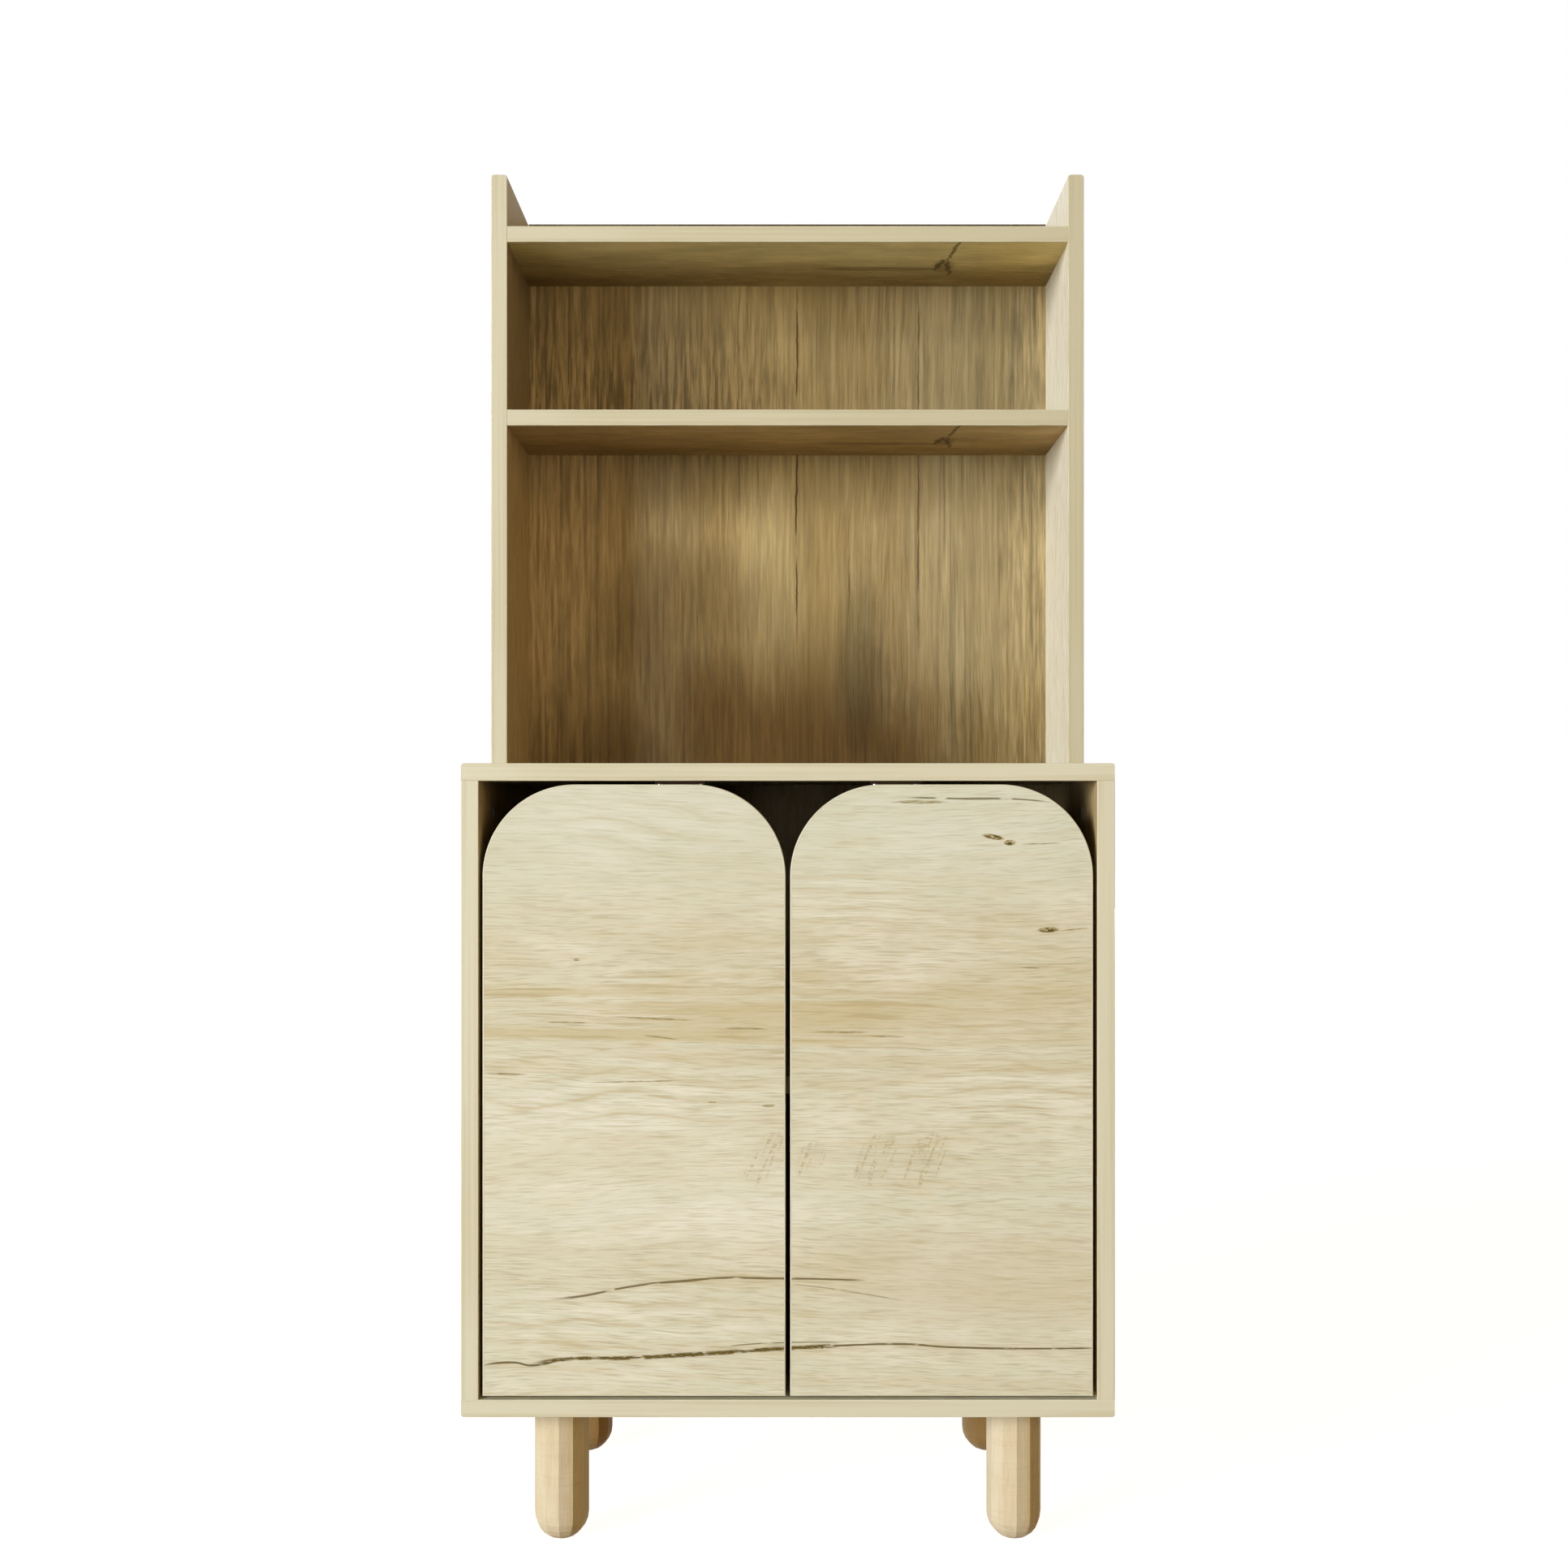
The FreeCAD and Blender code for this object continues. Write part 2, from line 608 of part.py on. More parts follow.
copies("base_screws", long_screw,
       [(x, y, "leg_height + cap_depth", HEAD_DOWN) for x, y in spots(LEFT_AND_RIGHT, BASE_BOLTS)])

# Legs: twelve flat sides down to a faceted dome, with a corner facing the front

rings = []
for angle in DOME_ANGLES:
    ring = doc.addObject("Part::RegularPolygon", "dome_ring")
    ring.Polygon = LEG_SIDES
    bind(ring, "Circumradius", f"leg_radius * cos({angle} deg)")
    place(ring, z=f"leg_radius * (sin({DOME_ANGLES[0]} deg) - sin({angle} deg))")
    rings.append(ring)
top_ring = doc.addObject("Part::RegularPolygon", "top_ring")
top_ring.Polygon = LEG_SIDES
bind(top_ring, "Circumradius", "leg_radius")
place(top_ring, z="leg_height")
leg_form = doc.addObject("Part::Loft", "leg_form")
leg_form.Sections = rings + [top_ring]
leg_form.Solid = True
leg_form.Ruled = True
leg_bore = cylinder("leg_bore", "hanger_diameter / 2 + bore_clear", "hanger_wood_length + end_clear")
place(leg_bore, z="leg_height - hanger_wood_length - end_clear")
leg = less("leg", leg_form, leg_bore)
LEG_LABELS = ("front_left_leg", "rear_left_leg", "front_right_leg", "rear_right_leg")
for label, (x, y) in zip(LEG_LABELS, spots(LEG_XS, LEG_YS)):
    copies(label, leg, [(x, y, "0", UPRIGHT)])
leg_tops = [(x, y, "leg_height", UPRIGHT) for x, y in spots(LEG_XS, LEG_YS)]
copies("leg_hanger_bolts", hanger_bolt, leg_tops)
copies("leg_insert_nuts", insert_nut, leg_tops)

# Hutch: two sides, two shelves and a back between them, standing at the rear of the counter

hutch_side = new_body("hutch_side", "-width / 2", "0", BASE_TOP_Z)
face = new_sketch(hutch_side, "YZ_Plane")
add_rectangle(face, HUTCH_FRONT_Y, "0", REAR_Y, "hutch_height")
pad(hutch_side, face, "board")
round_edges(hutch_side, "corner_round",
            lambda middle, way, box: along(way, Y_AXIS) and near(middle.z, box.ZMax))
round_edges(hutch_side, "edge_round",
            lambda middle, way, box: near(middle.y, box.YMin) and not near(middle.z, box.ZMin))
shelf_ends = [(y, f"{rise} + board / 2") for rise in SHELF_RISES.values() for y in SHELF_SCREWS]
back_ends = [(HUTCH_BACK_MIDDLE, rise) for rise in BACK_SCREWS]
screw_hole(hutch_side, "YZ_Plane", shelf_ends + back_ends, True)
drill(hutch_side, "XY_Plane", "0", spots(["board / 2"], HUTCH_DOWELS), DOWEL_BORE, DOWEL_EDGE_DEPTH, True)
keep(hutch_side, "hutch_left_side")
mirrored("hutch_right_side", hutch_side)

for label, rise in SHELF_RISES.items():
    shelf = new_body(label, "0", "0", f"{BASE_TOP_Z} + {rise}")
    plan = new_sketch(shelf, "XY_Plane")
    add_rectangle(plan, f"-{INNER_HALF}", HUTCH_FRONT_Y, INNER_HALF, f"{REAR_Y} - board")
    pad(shelf, plan, "board")
    round_edges(shelf, "edge_round", lambda middle, way, box: near(middle.y, box.YMin) and along(way, X_AXIS))
    end_spots = spots(SHELF_SCREWS, ["board / 2"])
    drill(shelf, "YZ_Plane", f"-{INNER_HALF}", end_spots, SCREW_PILOT_BORE, SCREW_PILOT_DEPTH, True)
    drill(shelf, "YZ_Plane", INNER_HALF, end_spots, SCREW_PILOT_BORE, SCREW_PILOT_DEPTH, False)
    keep(shelf, label)

hutch_back = new_body("hutch_back", "0", REAR_Y, BASE_TOP_Z)
face = new_sketch(hutch_back, "XZ_Plane")
add_rectangle(face, f"-{INNER_HALF}", "0", INNER_HALF, "hutch_height")
pad(hutch_back, face, "board")
end_spots = spots(["-board / 2"], BACK_SCREWS)
drill(hutch_back, "YZ_Plane", f"-{INNER_HALF}", end_spots, SCREW_PILOT_BORE, SCREW_PILOT_DEPTH, True)
drill(hutch_back, "YZ_Plane", INNER_HALF, end_spots, SCREW_PILOT_BORE, SCREW_PILOT_DEPTH, False)
drill(hutch_back, "XY_Plane", "0", spots(COUNTER_SCREWS, ["-board / 2"]),
      SCREW_PILOT_BORE, SCREW_PILOT_DEPTH, True)
keep(hutch_back, "hutch_back")

side_screw_places = []
for y, rise in shelf_ends + back_ends:
    side_screw_places.append(("cap_depth - width / 2", y, f"{BASE_TOP_Z} + {rise}", HEAD_LEFT))
    side_screw_places.append(("width / 2 - cap_depth", y, f"{BASE_TOP_Z} + {rise}", HEAD_RIGHT))
copies("hutch_side_screws", long_screw, side_screw_places)
copies("hutch_screw_caps", screw_cap, side_screw_places)
copies("hutch_dowels", dowel,
       [(x, y, f"{BASE_TOP_Z} - dowel_face_bore", UPRIGHT) for x, y in spots(LEFT_AND_RIGHT, HUTCH_DOWELS)])
copies("counter_screws", long_screw,
       [(x, HUTCH_BACK_MIDDLE, f"{BASE_TOP_Z} - board + cap_depth", HEAD_DOWN) for x in COUNTER_SCREWS])

# Doors: plain boards with both top corners rounded to an arch, bored at the back for the hinge cups

door = new_body("door", DOOR_EDGE_X, DOOR_BACK_Y, DOOR_Z)
face = new_sketch(door, "XZ_Plane")
add_rectangle(face, "0", "0", DOOR_WIDTH, DOOR_HEIGHT)
pad(door, face, "door_board")
round_edges(door, "arch_radius", lambda middle, way, box: along(way, Y_AXIS) and near(middle.z, box.ZMax))
round_edges(door, "edge_round", lambda middle, way, box: near(middle.y, box.YMin))
cup_spots = spots(["cup_edge"], HINGE_RISES)
drill(door, "XZ_Plane", "0", cup_spots, "cup_diameter + 2 * bore_clear", "cup_depth + end_clear", True)
cup_screw_rises = [f"{rise} {sign} cup_screw_span / 2" for rise in HINGE_RISES for sign in "-+"]
drill(door, "XZ_Plane", "0", spots(["cup_edge"], cup_screw_rises),
      SMALL_BORE, "small_screw_length - flange_thickness + end_clear", True)
drill(door, "XZ_Plane", "0", [(f"{DOOR_WIDTH} - catch_from_edge", f"{DOOR_HEIGHT} - strike_drop")],
      SMALL_BORE, "small_screw_length - strike_thickness + end_clear", True)
keep(door, "left_door")
mirrored("right_door", door)

# Cup hinges. The cup and its pin sit in the door. The arm turns on the pin, leaves the cup's mouth, goes
# round the door's edge as a gooseneck and lies along its mounting plate on the cabinet's side.

cup = new_body("hinge_cup")
section = new_sketch(cup, "XY_Plane")
inner_radius = "(cup_diameter / 2 - cup_wall)"
add_outline(section, [
    ("0", "-cup_depth"),
    ("cup_diameter / 2", "-cup_depth"),
    ("cup_diameter / 2", "0"),
    ("cup_diameter / 2 + cup_rim", "0"),
    ("cup_diameter / 2 + cup_rim", "flange_thickness"),
    (inner_radius, "flange_thickness"),
    (inner_radius, "cup_wall - cup_depth"),
    ("0", "cup_wall - cup_depth"),
])
bowl = cup.newObject("PartDesign::Revolution", "hinge_cup_turn")
bowl.Profile = section
bowl.ReferenceAxis = (section, ["V_Axis"])
bowl.Angle = 360
flange = new_sketch(cup, "XZ_Plane")
add_rectangle(flange, "-flange_width / 2", "-flange_length / 2", "flange_width / 2", "flange_length / 2")
for rise in ("-cup_screw_span / 2", "cup_screw_span / 2"):
    add_circle(flange, "0", rise, SMALL_BORE)
pad(cup, flange, "flange_thickness", True)
drill(cup, "XZ_Plane", "-flange_thickness", [("0", "0")], f"2 * {inner_radius}",
      "flange_thickness + cup_depth - cup_wall", True)
round_edges(cup, "flange_round", lambda middle, way, box: along(way, Y_AXIS) and (
    near(middle.z, box.ZMax) or near(middle.z, box.ZMin)))
drill(cup, "XY_Plane", "-cup_diameter", [("-pin_offset", f"-{PIN_BELOW_BACK}")],
      "pin_diameter + 2 * pin_fit", "2 * cup_diameter", True)

path = doc.addObject("Sketcher::SketchObject", "gooseneck_path")
pin_floor = SIZES["knuckle_diameter"] / 2 + SIZES["knuckle_floor_gap"]
pin_below = SIZES["cup_depth"] - SIZES["cup_wall"] - pin_floor
pin_edge = SIZES["cup_edge"] - SIZES["pin_offset"]
tail = hypot(pin_edge, SIZES["door_board"] - pin_below)
reach = tail + SIZES["tail_clear"] + SIZES["arm_thickness"] / 2
bend = SIZES["arm_bend"]
neck = radians(SIZES["neck_angle"])
lean = asin(bend / (reach - bend))
line = SIZES["plate_thickness"] + SIZES["arm_thickness"] / 2 - pin_edge - SIZES["side_gap"]


def polar(radius, angle):
    return V(radius * cos(angle), radius * sin(angle), 0)


def arc(centre, radius, start, end):
    return Part.ArcOfCircle(Part.Circle(centre, Z_AXIS, radius), start, end)


# Neck, first bend, sweep round the door's edge, cross run, second bend and leg, end to end.
path.addGeometry(Part.LineSegment(V(0, 0, 0), polar((reach - bend) * cos(lean), neck)))
path.addGeometry(arc(polar(reach - bend, neck + lean), bend, neck - pi / 2, neck + lean))
path.addGeometry(arc(V(0, 0, 0), reach, neck + lean, pi / 2))
path.addGeometry(Part.LineSegment(V(0, reach, 0), V(line + bend, reach, 0)))
path.addGeometry(arc(V(line + bend, reach + bend, 0), bend, pi, 3 * pi / 2))
path.addGeometry(Part.LineSegment(V(line, reach + bend, 0), V(line, reach + bend + SIZES["arm_leg"], 0)))
path.addConstraint(Sketcher.Constraint("Coincident", 0, 1, -1, 1))
path.addConstraint(Sketcher.Constraint("Coincident", 2, 3, -1, 1))
path.addConstraint(Sketcher.Constraint("Horizontal", 3))
path.addConstraint(Sketcher.Constraint("Vertical", 5))
for ends in ((0, 2, 1, 1), (1, 2, 2, 1), (2, 2, 3, 1), (3, 2, 4, 2), (4, 1, 5, 1)):
    path.addConstraint(Sketcher.Constraint("Tangent", *ends))
bind(path, f"Constraints[{path.addConstraint(Sketcher.Constraint('Angle', 0, neck))}]", "neck_angle * 1 deg")
for index, radius in ((1, "arm_bend"), (2, GOOSENECK), (4, "arm_bend")):
    measured = path.Geometry[index].Radius
    number = path.addConstraint(Sketcher.Constraint("Radius", index, measured))
    bind(path, f"Constraints[{number}]", radius)
leg_end = path.Geometry[5].EndPoint
number = path.addConstraint(Sketcher.Constraint("DistanceX", -1, 1, 5, 2, leg_end.x))
bind(path, f"Constraints[{number}]", ARM_LINE)
number = path.addConstraint(Sketcher.Constraint("DistanceY", -1, 1, 5, 2, leg_end.y))
bind(path, f"Constraints[{number}]", f"{PLATE_START} + arm_leg")

strip = doc.addObject("Part::Offset2D", "arm_strip")
strip.Source = path
strip.Fill = True
bind(strip, "Value", "arm_thickness / 2")
slab = doc.addObject("Part::Extrusion", "arm_slab")
slab.Base = strip
slab.DirMode = "Custom"
slab.Dir = Z_AXIS
slab.Solid = True
slab.Symmetric = True
bind(slab, "LengthFwd", "arm_width")
knuckle = cylinder("knuckle", "knuckle_diameter / 2", "arm_width")
place(knuckle, z="-arm_width / 2")
arm_form = doc.addObject("Part::Fuse", "arm_form")
arm_form.Base = slab
arm_form.Tool = knuckle
pin_bore = cylinder("pin_bore", "pin_diameter / 2 + pin_fit", "2 * arm_width")
place(pin_bore, z="-arm_width")
arm_screw_bore = cylinder("arm_screw_bore", "small_screw_diameter / 2 + bore_clear", "2 * arm_thickness")
arm_screw_bore.Placement.Rotation = HEAD_RIGHT
place(arm_screw_bore, f"{ARM_LINE} - arm_thickness", ARM_SCREW_Y, "0")
arm = less("hinge_arm", less("arm_on_pin", arm_form, pin_bore), arm_screw_bore)

plate = new_body("hinge_plate")
cross = new_sketch(plate, "YZ_Plane", f"-{PLATE_SEAT}")
WING_START = f"({PLATE_MIDDLE} - wing_width / 2)"
WING_END = f"({PLATE_MIDDLE} + wing_width / 2)"
add_outline(cross, [
    (PLATE_START, "-plate_height / 2"),
    (WING_START, "-plate_height / 2"),
    (WING_START, "-wing_height / 2"),
    (WING_END, "-wing_height / 2"),
    (WING_END, "-plate_height / 2"),
    (PLATE_END, "-plate_height / 2"),
    (PLATE_END, "plate_height / 2"),
    (WING_END, "plate_height / 2"),
    (WING_END, "wing_height / 2"),
    (WING_START, "wing_height / 2"),
    (WING_START, "plate_height / 2"),
    (PLATE_START, "plate_height / 2"),
])
for rise in ("-plate_screw_span / 2", "plate_screw_span / 2"):
    add_circle(cross, PLATE_MIDDLE, rise, SMALL_BORE)
add_circle(cross, ARM_SCREW_Y, "0", SMALL_BORE)
pad(plate, cross, "plate_thickness")
round_edges(plate, "plate_round", lambda middle, way, box: along(way, X_AXIS))


def hinge_places(x, y, rotation, shifts=("0",)):
    """The same spot at both hinges of the left door, with any shifts up and down."""
    return [(x, y, f"{DOOR_Z} + {rise} + {shift}", rotation) for rise in HINGE_RISES for shift in shifts]


ARM_TOP_X = f"{PIN_X} + {ARM_LINE} + arm_thickness / 2"
PLATE_TOP_X = f"{PIN_X} - {PLATE_SEAT} + plate_thickness"
PLATE_SCREW_SHIFTS = ("-plate_screw_span / 2", "plate_screw_span / 2")
CUP_SCREW_SHIFTS = ("-cup_screw_span / 2", "cup_screw_span / 2")
CUP_X = f"{DOOR_EDGE_X} + cup_edge"
LEFT_HINGE = {
    "hinge_arms": (arm, hinge_places(PIN_X, PIN_Y, UPRIGHT)),
    "hinge_plates": (plate, hinge_places(PIN_X, PIN_Y, UPRIGHT)),
    "hinge_plate_screws": (small_screw, hinge_places(PLATE_TOP_X, f"{PIN_Y} + {PLATE_MIDDLE}", HEAD_RIGHT,
                                                     PLATE_SCREW_SHIFTS)),
    "hinge_arm_screws": (arm_screw, hinge_places(ARM_TOP_X, f"{PIN_Y} + {ARM_SCREW_Y}", HEAD_RIGHT)),
    "hinge_cups": (cup, hinge_places(CUP_X, DOOR_BACK_Y, UPRIGHT)),
    "hinge_cup_screws": (small_screw, hinge_places(CUP_X, f"{DOOR_BACK_Y} + flange_thickness", HEAD_BACK,
                                                   CUP_SCREW_SHIFTS)),
    "hinge_pins": (hinge_pin, hinge_places(PIN_X, PIN_Y, UPRIGHT)),
}
for label, (piece, where) in LEFT_HINGE.items():
    mirrored(f"right_{label}", copies(f"left_{label}", piece, where))

# Magnetic catches under the counter, each with a steel strike on its door

housing = new_body("catch_housing", CATCH_X, CATCH_Y, f"{BASE_TOP_Z} - board")
block = new_sketch(housing, "XY_Plane")
add_rectangle(block, "-catch_width / 2", "0", "catch_width / 2", "catch_depth")
pad(housing, block, "catch_height", True)
ears = new_sketch(housing, "XY_Plane")
add_rectangle(ears, "-ear_width / 2", "0", "ear_width / 2", "catch_depth")
for x in CATCH_SCREWS:
    add_circle(ears, x, "catch_depth / 2", SMALL_BORE)
pad(housing, ears, "ear_thickness", True)
recess = new_sketch(housing, "XZ_Plane")
add_rectangle(recess, "-magnet_width / 2 - bore_clear", f"-{MAGNET_DROP} - magnet_height / 2 - bore_clear",
              "magnet_width / 2 + bore_clear", f"magnet_height / 2 + bore_clear - {MAGNET_DROP}")
cut(housing, recess, "magnet_depth + end_clear", False)
keep(housing, "left_catch_housing")
mirrored("right_catch_housing", housing)

magnet = new_body("catch_magnet", CATCH_X, CATCH_Y, f"{BASE_TOP_Z} - board")
face = new_sketch(magnet, "XZ_Plane")
add_rectangle(face, "-magnet_width / 2", f"-{MAGNET_DROP} - magnet_height / 2",
              "magnet_width / 2", f"magnet_height / 2 - {MAGNET_DROP}")
pad(magnet, face, "magnet_depth", True)
keep(magnet, "left_catch_magnet")
mirrored("right_catch_magnet", magnet)

catch_screws = copies("left_catch_screws", small_screw, [
    (f"{CATCH_X} + {x}", f"{CATCH_Y} + catch_depth / 2", f"{BASE_TOP_Z} - board - ear_thickness", HEAD_DOWN)
    for x in CATCH_SCREWS])
mirrored("right_catch_screws", catch_screws)

strike = new_body("strike_plate", CATCH_X, DOOR_BACK_Y, STRIKE_Z)
face = new_sketch(strike, "XZ_Plane")
add_rectangle(face, "-strike_width / 2", "-strike_height / 2", "strike_width / 2", "strike_height / 2")
add_circle(face, "0", "0", "strike_head + 2 * bore_clear")
pad(strike, face, "strike_thickness", True)
keep(strike, "left_strike_plate")
mirrored("right_strike_plate", strike)
strike_place = (CATCH_X, f"{DOOR_BACK_Y} + strike_thickness", STRIKE_Z, HEAD_BACK)
mirrored("right_strike_screw", copies("left_strike_screw", strike_screw, [strike_place]))

# Check and export

doc.recompute()
for item in doc.Objects:
    if "Invalid" in item.State or "Error" in item.State:
        raise RuntimeError(f"{item.Label} failed: {item.State}")
for item in parts:
    if item.Shape.isNull() or not item.Shape.isValid() or not item.Shape.Solids:
        raise RuntimeError(f"{item.Label} has no sound solid")

os.makedirs("parts", exist_ok=True)
for item in parts:
    item.Shape.exportStep(f"parts/{item.Label}.step")
whole = Part.makeCompound([item.Shape for item in parts]).optimalBoundingBox(True, False)
solids = sum(len(item.Shape.Solids) for item in parts)
print(f"{len(parts)} sub-parts, {solids} solids")
print(f"{whole.XLength:.1f} x {whole.YLength:.1f} x {whole.ZLength:.1f} mm")
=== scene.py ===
# %% [markdown]
# # A kitchen hutch in oak decor
# The hutch is a two-door cupboard on four faceted legs, with open shelves at the rear of its counter. The
# boards, doors, legs, hinges and catches come from the CAD frame, already in place and at their real size.
# This lesson gives them their finishes, and adds what a CAD model leaves out: the bands glued to the
# boards' edges and the crosses in the screws.

# %% Load the frame
from functools import partialmethod
from math import cos, pi, radians, sin
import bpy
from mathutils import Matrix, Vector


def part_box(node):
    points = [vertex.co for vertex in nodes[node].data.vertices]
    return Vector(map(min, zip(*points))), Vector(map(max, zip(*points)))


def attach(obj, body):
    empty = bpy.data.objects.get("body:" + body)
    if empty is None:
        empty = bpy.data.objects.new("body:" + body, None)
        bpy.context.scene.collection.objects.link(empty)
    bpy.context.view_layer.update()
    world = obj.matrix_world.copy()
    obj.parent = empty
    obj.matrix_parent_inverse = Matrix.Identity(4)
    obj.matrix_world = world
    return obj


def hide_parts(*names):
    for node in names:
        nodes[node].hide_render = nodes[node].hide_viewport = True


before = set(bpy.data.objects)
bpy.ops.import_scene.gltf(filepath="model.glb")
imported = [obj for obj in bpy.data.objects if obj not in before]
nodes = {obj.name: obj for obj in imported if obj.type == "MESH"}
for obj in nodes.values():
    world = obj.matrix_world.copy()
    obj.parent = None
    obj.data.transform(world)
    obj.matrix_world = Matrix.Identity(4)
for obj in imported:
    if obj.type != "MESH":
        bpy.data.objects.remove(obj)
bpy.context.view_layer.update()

from types import SimpleNamespace

import bpy
import numpy as np
from mathutils import Vector

scene = bpy.context.scene
scene.view_settings.view_transform = "Standard"

# %% [markdown]
# ## Camera
# The photograph looks straight at the doors from about two metres away, a little below counter height: the
# counter's upper face is hidden, and the undersides of the hutch's shelves show. Verticals stay vertical,
# so the camera is level, and a small upward shift puts the horizon where the photograph has it. A tilted
# camera could frame the same view, but it would make the sides lean.

# %% Camera
PHOTO_SIDE = 1932
FOCAL_PIXELS = 2303
HORIZON_ROW = 993
SENSOR_WIDTH = 36.0
CAMERA_PLACE = (-0.004, -2.129, 0.781)

lens = bpy.data.cameras.new("front_camera")
lens.sensor_width = SENSOR_WIDTH
lens.lens = SENSOR_WIDTH * FOCAL_PIXELS / PHOTO_SIDE
lens.shift_y = (HORIZON_ROW - PHOTO_SIDE / 2) / PHOTO_SIDE
camera = bpy.data.objects.new("front_camera", lens)
camera.location = CAMERA_PLACE
camera.rotation_euler = (pi / 2, 0, 0)
scene.collection.objects.link(camera)
scene.camera = camera
print(f"lens {lens.lens:.1f} mm, shift {lens.shift_y:.4f}")

# %% [markdown]
# ## Light
# The right inner side of the hutch is as bright as the doors, while the left one lies in shade, and so do
# the right facets of the legs. That is one large soft light from the left, about halfway between the front
# and the side, not far above eye level. A second, weak one from the right keeps the shade readable, and a
# third behind the hutch does so for its rear. A small lamp would throw hard edges, which the photograph
# lacks.

# %% Lamps
AIM = Vector((0.0, 0.0, 0.8))
LAMP_DISTANCE = 12.0
LAMP_SIZE = 4.5
WHITE = (1.0, 1.0, 1.0)


def soft_lamp(name, azimuth, elevation, watts, colour):
    """A square area lamp on a sphere about the cabinet, aimed at its middle. Azimuth 0 is in front."""
    light = bpy.data.lights.new(name, "AREA")
    light.shape = "SQUARE"
    light.size = LAMP_SIZE
    light.energy = watts
    light.color = colour
    lamp = bpy.data.objects.new(name, light)
    level = cos(radians(elevation)) * LAMP_DISTANCE
    height = sin(radians(elevation)) * LAMP_DISTANCE
    side = Vector((level * sin(radians(azimuth)), -level * cos(radians(azimuth)), height))
    lamp.location = AIM + side
    lamp.rotation_euler = (-side).to_track_quat("-Z", "Y").to_euler()
    scene.collection.objects.link(lamp)
    print(f"{name}: {watts} W at {[round(value, 2) for value in lamp.location]}")


soft_lamp("window_light", azimuth=-46, elevation=9, watts=1520.0, colour=WHITE)
soft_lamp("fill_light", azimuth=40, elevation=12, watts=230.0, colour=(1.0, 0.71, 0.38))
soft_lamp("rear_light", azimuth=178, elevation=4, watts=520.0, colour=(1.0, 0.95, 0.86))

# %% [markdown]
# ## Writing patterns as sums
# Wood is many patterns on top of each other, and a node tree drawn by hand for that grows hard to read.
# Here a Wire is a number that flows through a material, and ordinary arithmetic on wires adds the Math
# nodes. A formula stays one line of code, and the tree it makes is still one that anyone can open.

# %% Wires
MIX_INPUTS = (0, 6, 7)
MIX_RESULT = 2
NO_SHIFT = (0.0, 0.0, 0.0)


def plug(socket, value):
    """Link a wire to a socket, or set a plain value on it."""
    if isinstance(value, Wire):
        socket.id_data.links.new(value.socket, socket)
    else:
        socket.default_value = value


def set_inputs(node, **values):
    """Plug values or wires into a node. An input's name is written small, with _ for its spaces."""
    for socket in node.inputs:
        name = socket.name.lower().replace(" ", "_")
        if name in values:
            plug(socket, values[name])


class Wire:
    """A number, colour or vector that flows through a node tree."""

    def __init__(self, socket):
        self.socket = socket

    def add_node(self, kind):
        return self.socket.id_data.nodes.new(kind)

    def through(self, kind, operation, others, output=0):
        """What a node makes of this wire and the others."""
        node = self.add_node(kind)
        node.operation = operation
        for socket, value in zip(node.inputs, (self, *others)):
            plug(socket, value)
        return Wire(node.outputs[output])

    def math(self, operation, *others):
        return self.through("ShaderNodeMath", operation, others)

    def vector_math(self, operation, *others, output=0):
        return self.through("ShaderNodeVectorMath", operation, others, output)

    __add__ = __radd__ = partialmethod(math, "ADD")
    __mul__ = __rmul__ = partialmethod(math, "MULTIPLY")
    __sub__ = partialmethod(math, "SUBTRACT")
    __truediv__ = partialmethod(math, "DIVIDE")
    size = partialmethod(math, "ABSOLUTE")
    most = partialmethod(math, "MAXIMUM")

    def __rsub__(self, other):
        return self * -1.0 + other

    def step(self, low, high, start=0.0, end=1.0):
        """Start at low, end at high, and a smooth change between them. Low may be the larger of the two."""
        node = self.add_node("ShaderNodeMapRange")
        node.interpolation_type = "SMOOTHSTEP"
        for socket, value in zip(node.inputs, (self, low, high, start, end)):
            plug(socket, value)
        return Wire(node.outputs[0])

    def tint(self, start, end):
        """A colour that goes from start to end as this wire goes from zero to one."""
        node = self.add_node("ShaderNodeMix")
        node.data_type = "RGBA"
        for index, value in zip(MIX_INPUTS, (self, start, end)):
            plug(node.inputs[index], value if isinstance(value, Wire) else (*value, 1.0))
        return Wire(node.outputs[MIX_RESULT])

    def coated(self, *coats):
        """This colour under coats laid on in turn, each a mask and the colour that it brings."""
        colour = self
        for mask, coat in coats:
            colour = mask.tint(colour, coat)
        return colour

    def times(self, *factors):
        """A colour made brighter or darker by numbers, which go into the node's fourth input."""
        colour = self
        for factor in factors:
            colour = colour.vector_math("SCALE", NO_SHIFT, NO_SHIFT, factor)
        return colour

    def scaled(self, factors, shift=NO_SHIFT):
        """A vector times factors, plus a shift, part by part."""
        return self.vector_math("MULTIPLY_ADD", factors, shift)

    def toned(self, mask, factors):
        """A colour times factors where the mask is one, and unchanged where it is zero."""
        return self.scaled(mask.tint(WHITE, factors))

    def parts(self):
        node = self.add_node("ShaderNodeSeparateXYZ")
        plug(node.inputs[0], self)
        return [Wire(output) for output in node.outputs]

    def moved(self, axis, distance):
        """A position moved by a wire along one of its own axes."""
        joined = self.add_node("ShaderNodeCombineXYZ")
        plug(joined.inputs[axis], distance)
        return self.vector_math("ADD", Wire(joined.outputs[0]))

    def noise(self, cells, detail=2.0, roughness=0.5, shift=NO_SHIFT):
        """Noise over a position, with so many cells per metre along X, Y and Z."""
        node = self.add_node("ShaderNodeTexNoise")
        set_inputs(node, vector=self.scaled(cells, shift), scale=1.0, detail=detail, roughness=roughness)
        return Wire(node.outputs[0])


print("wires ready")


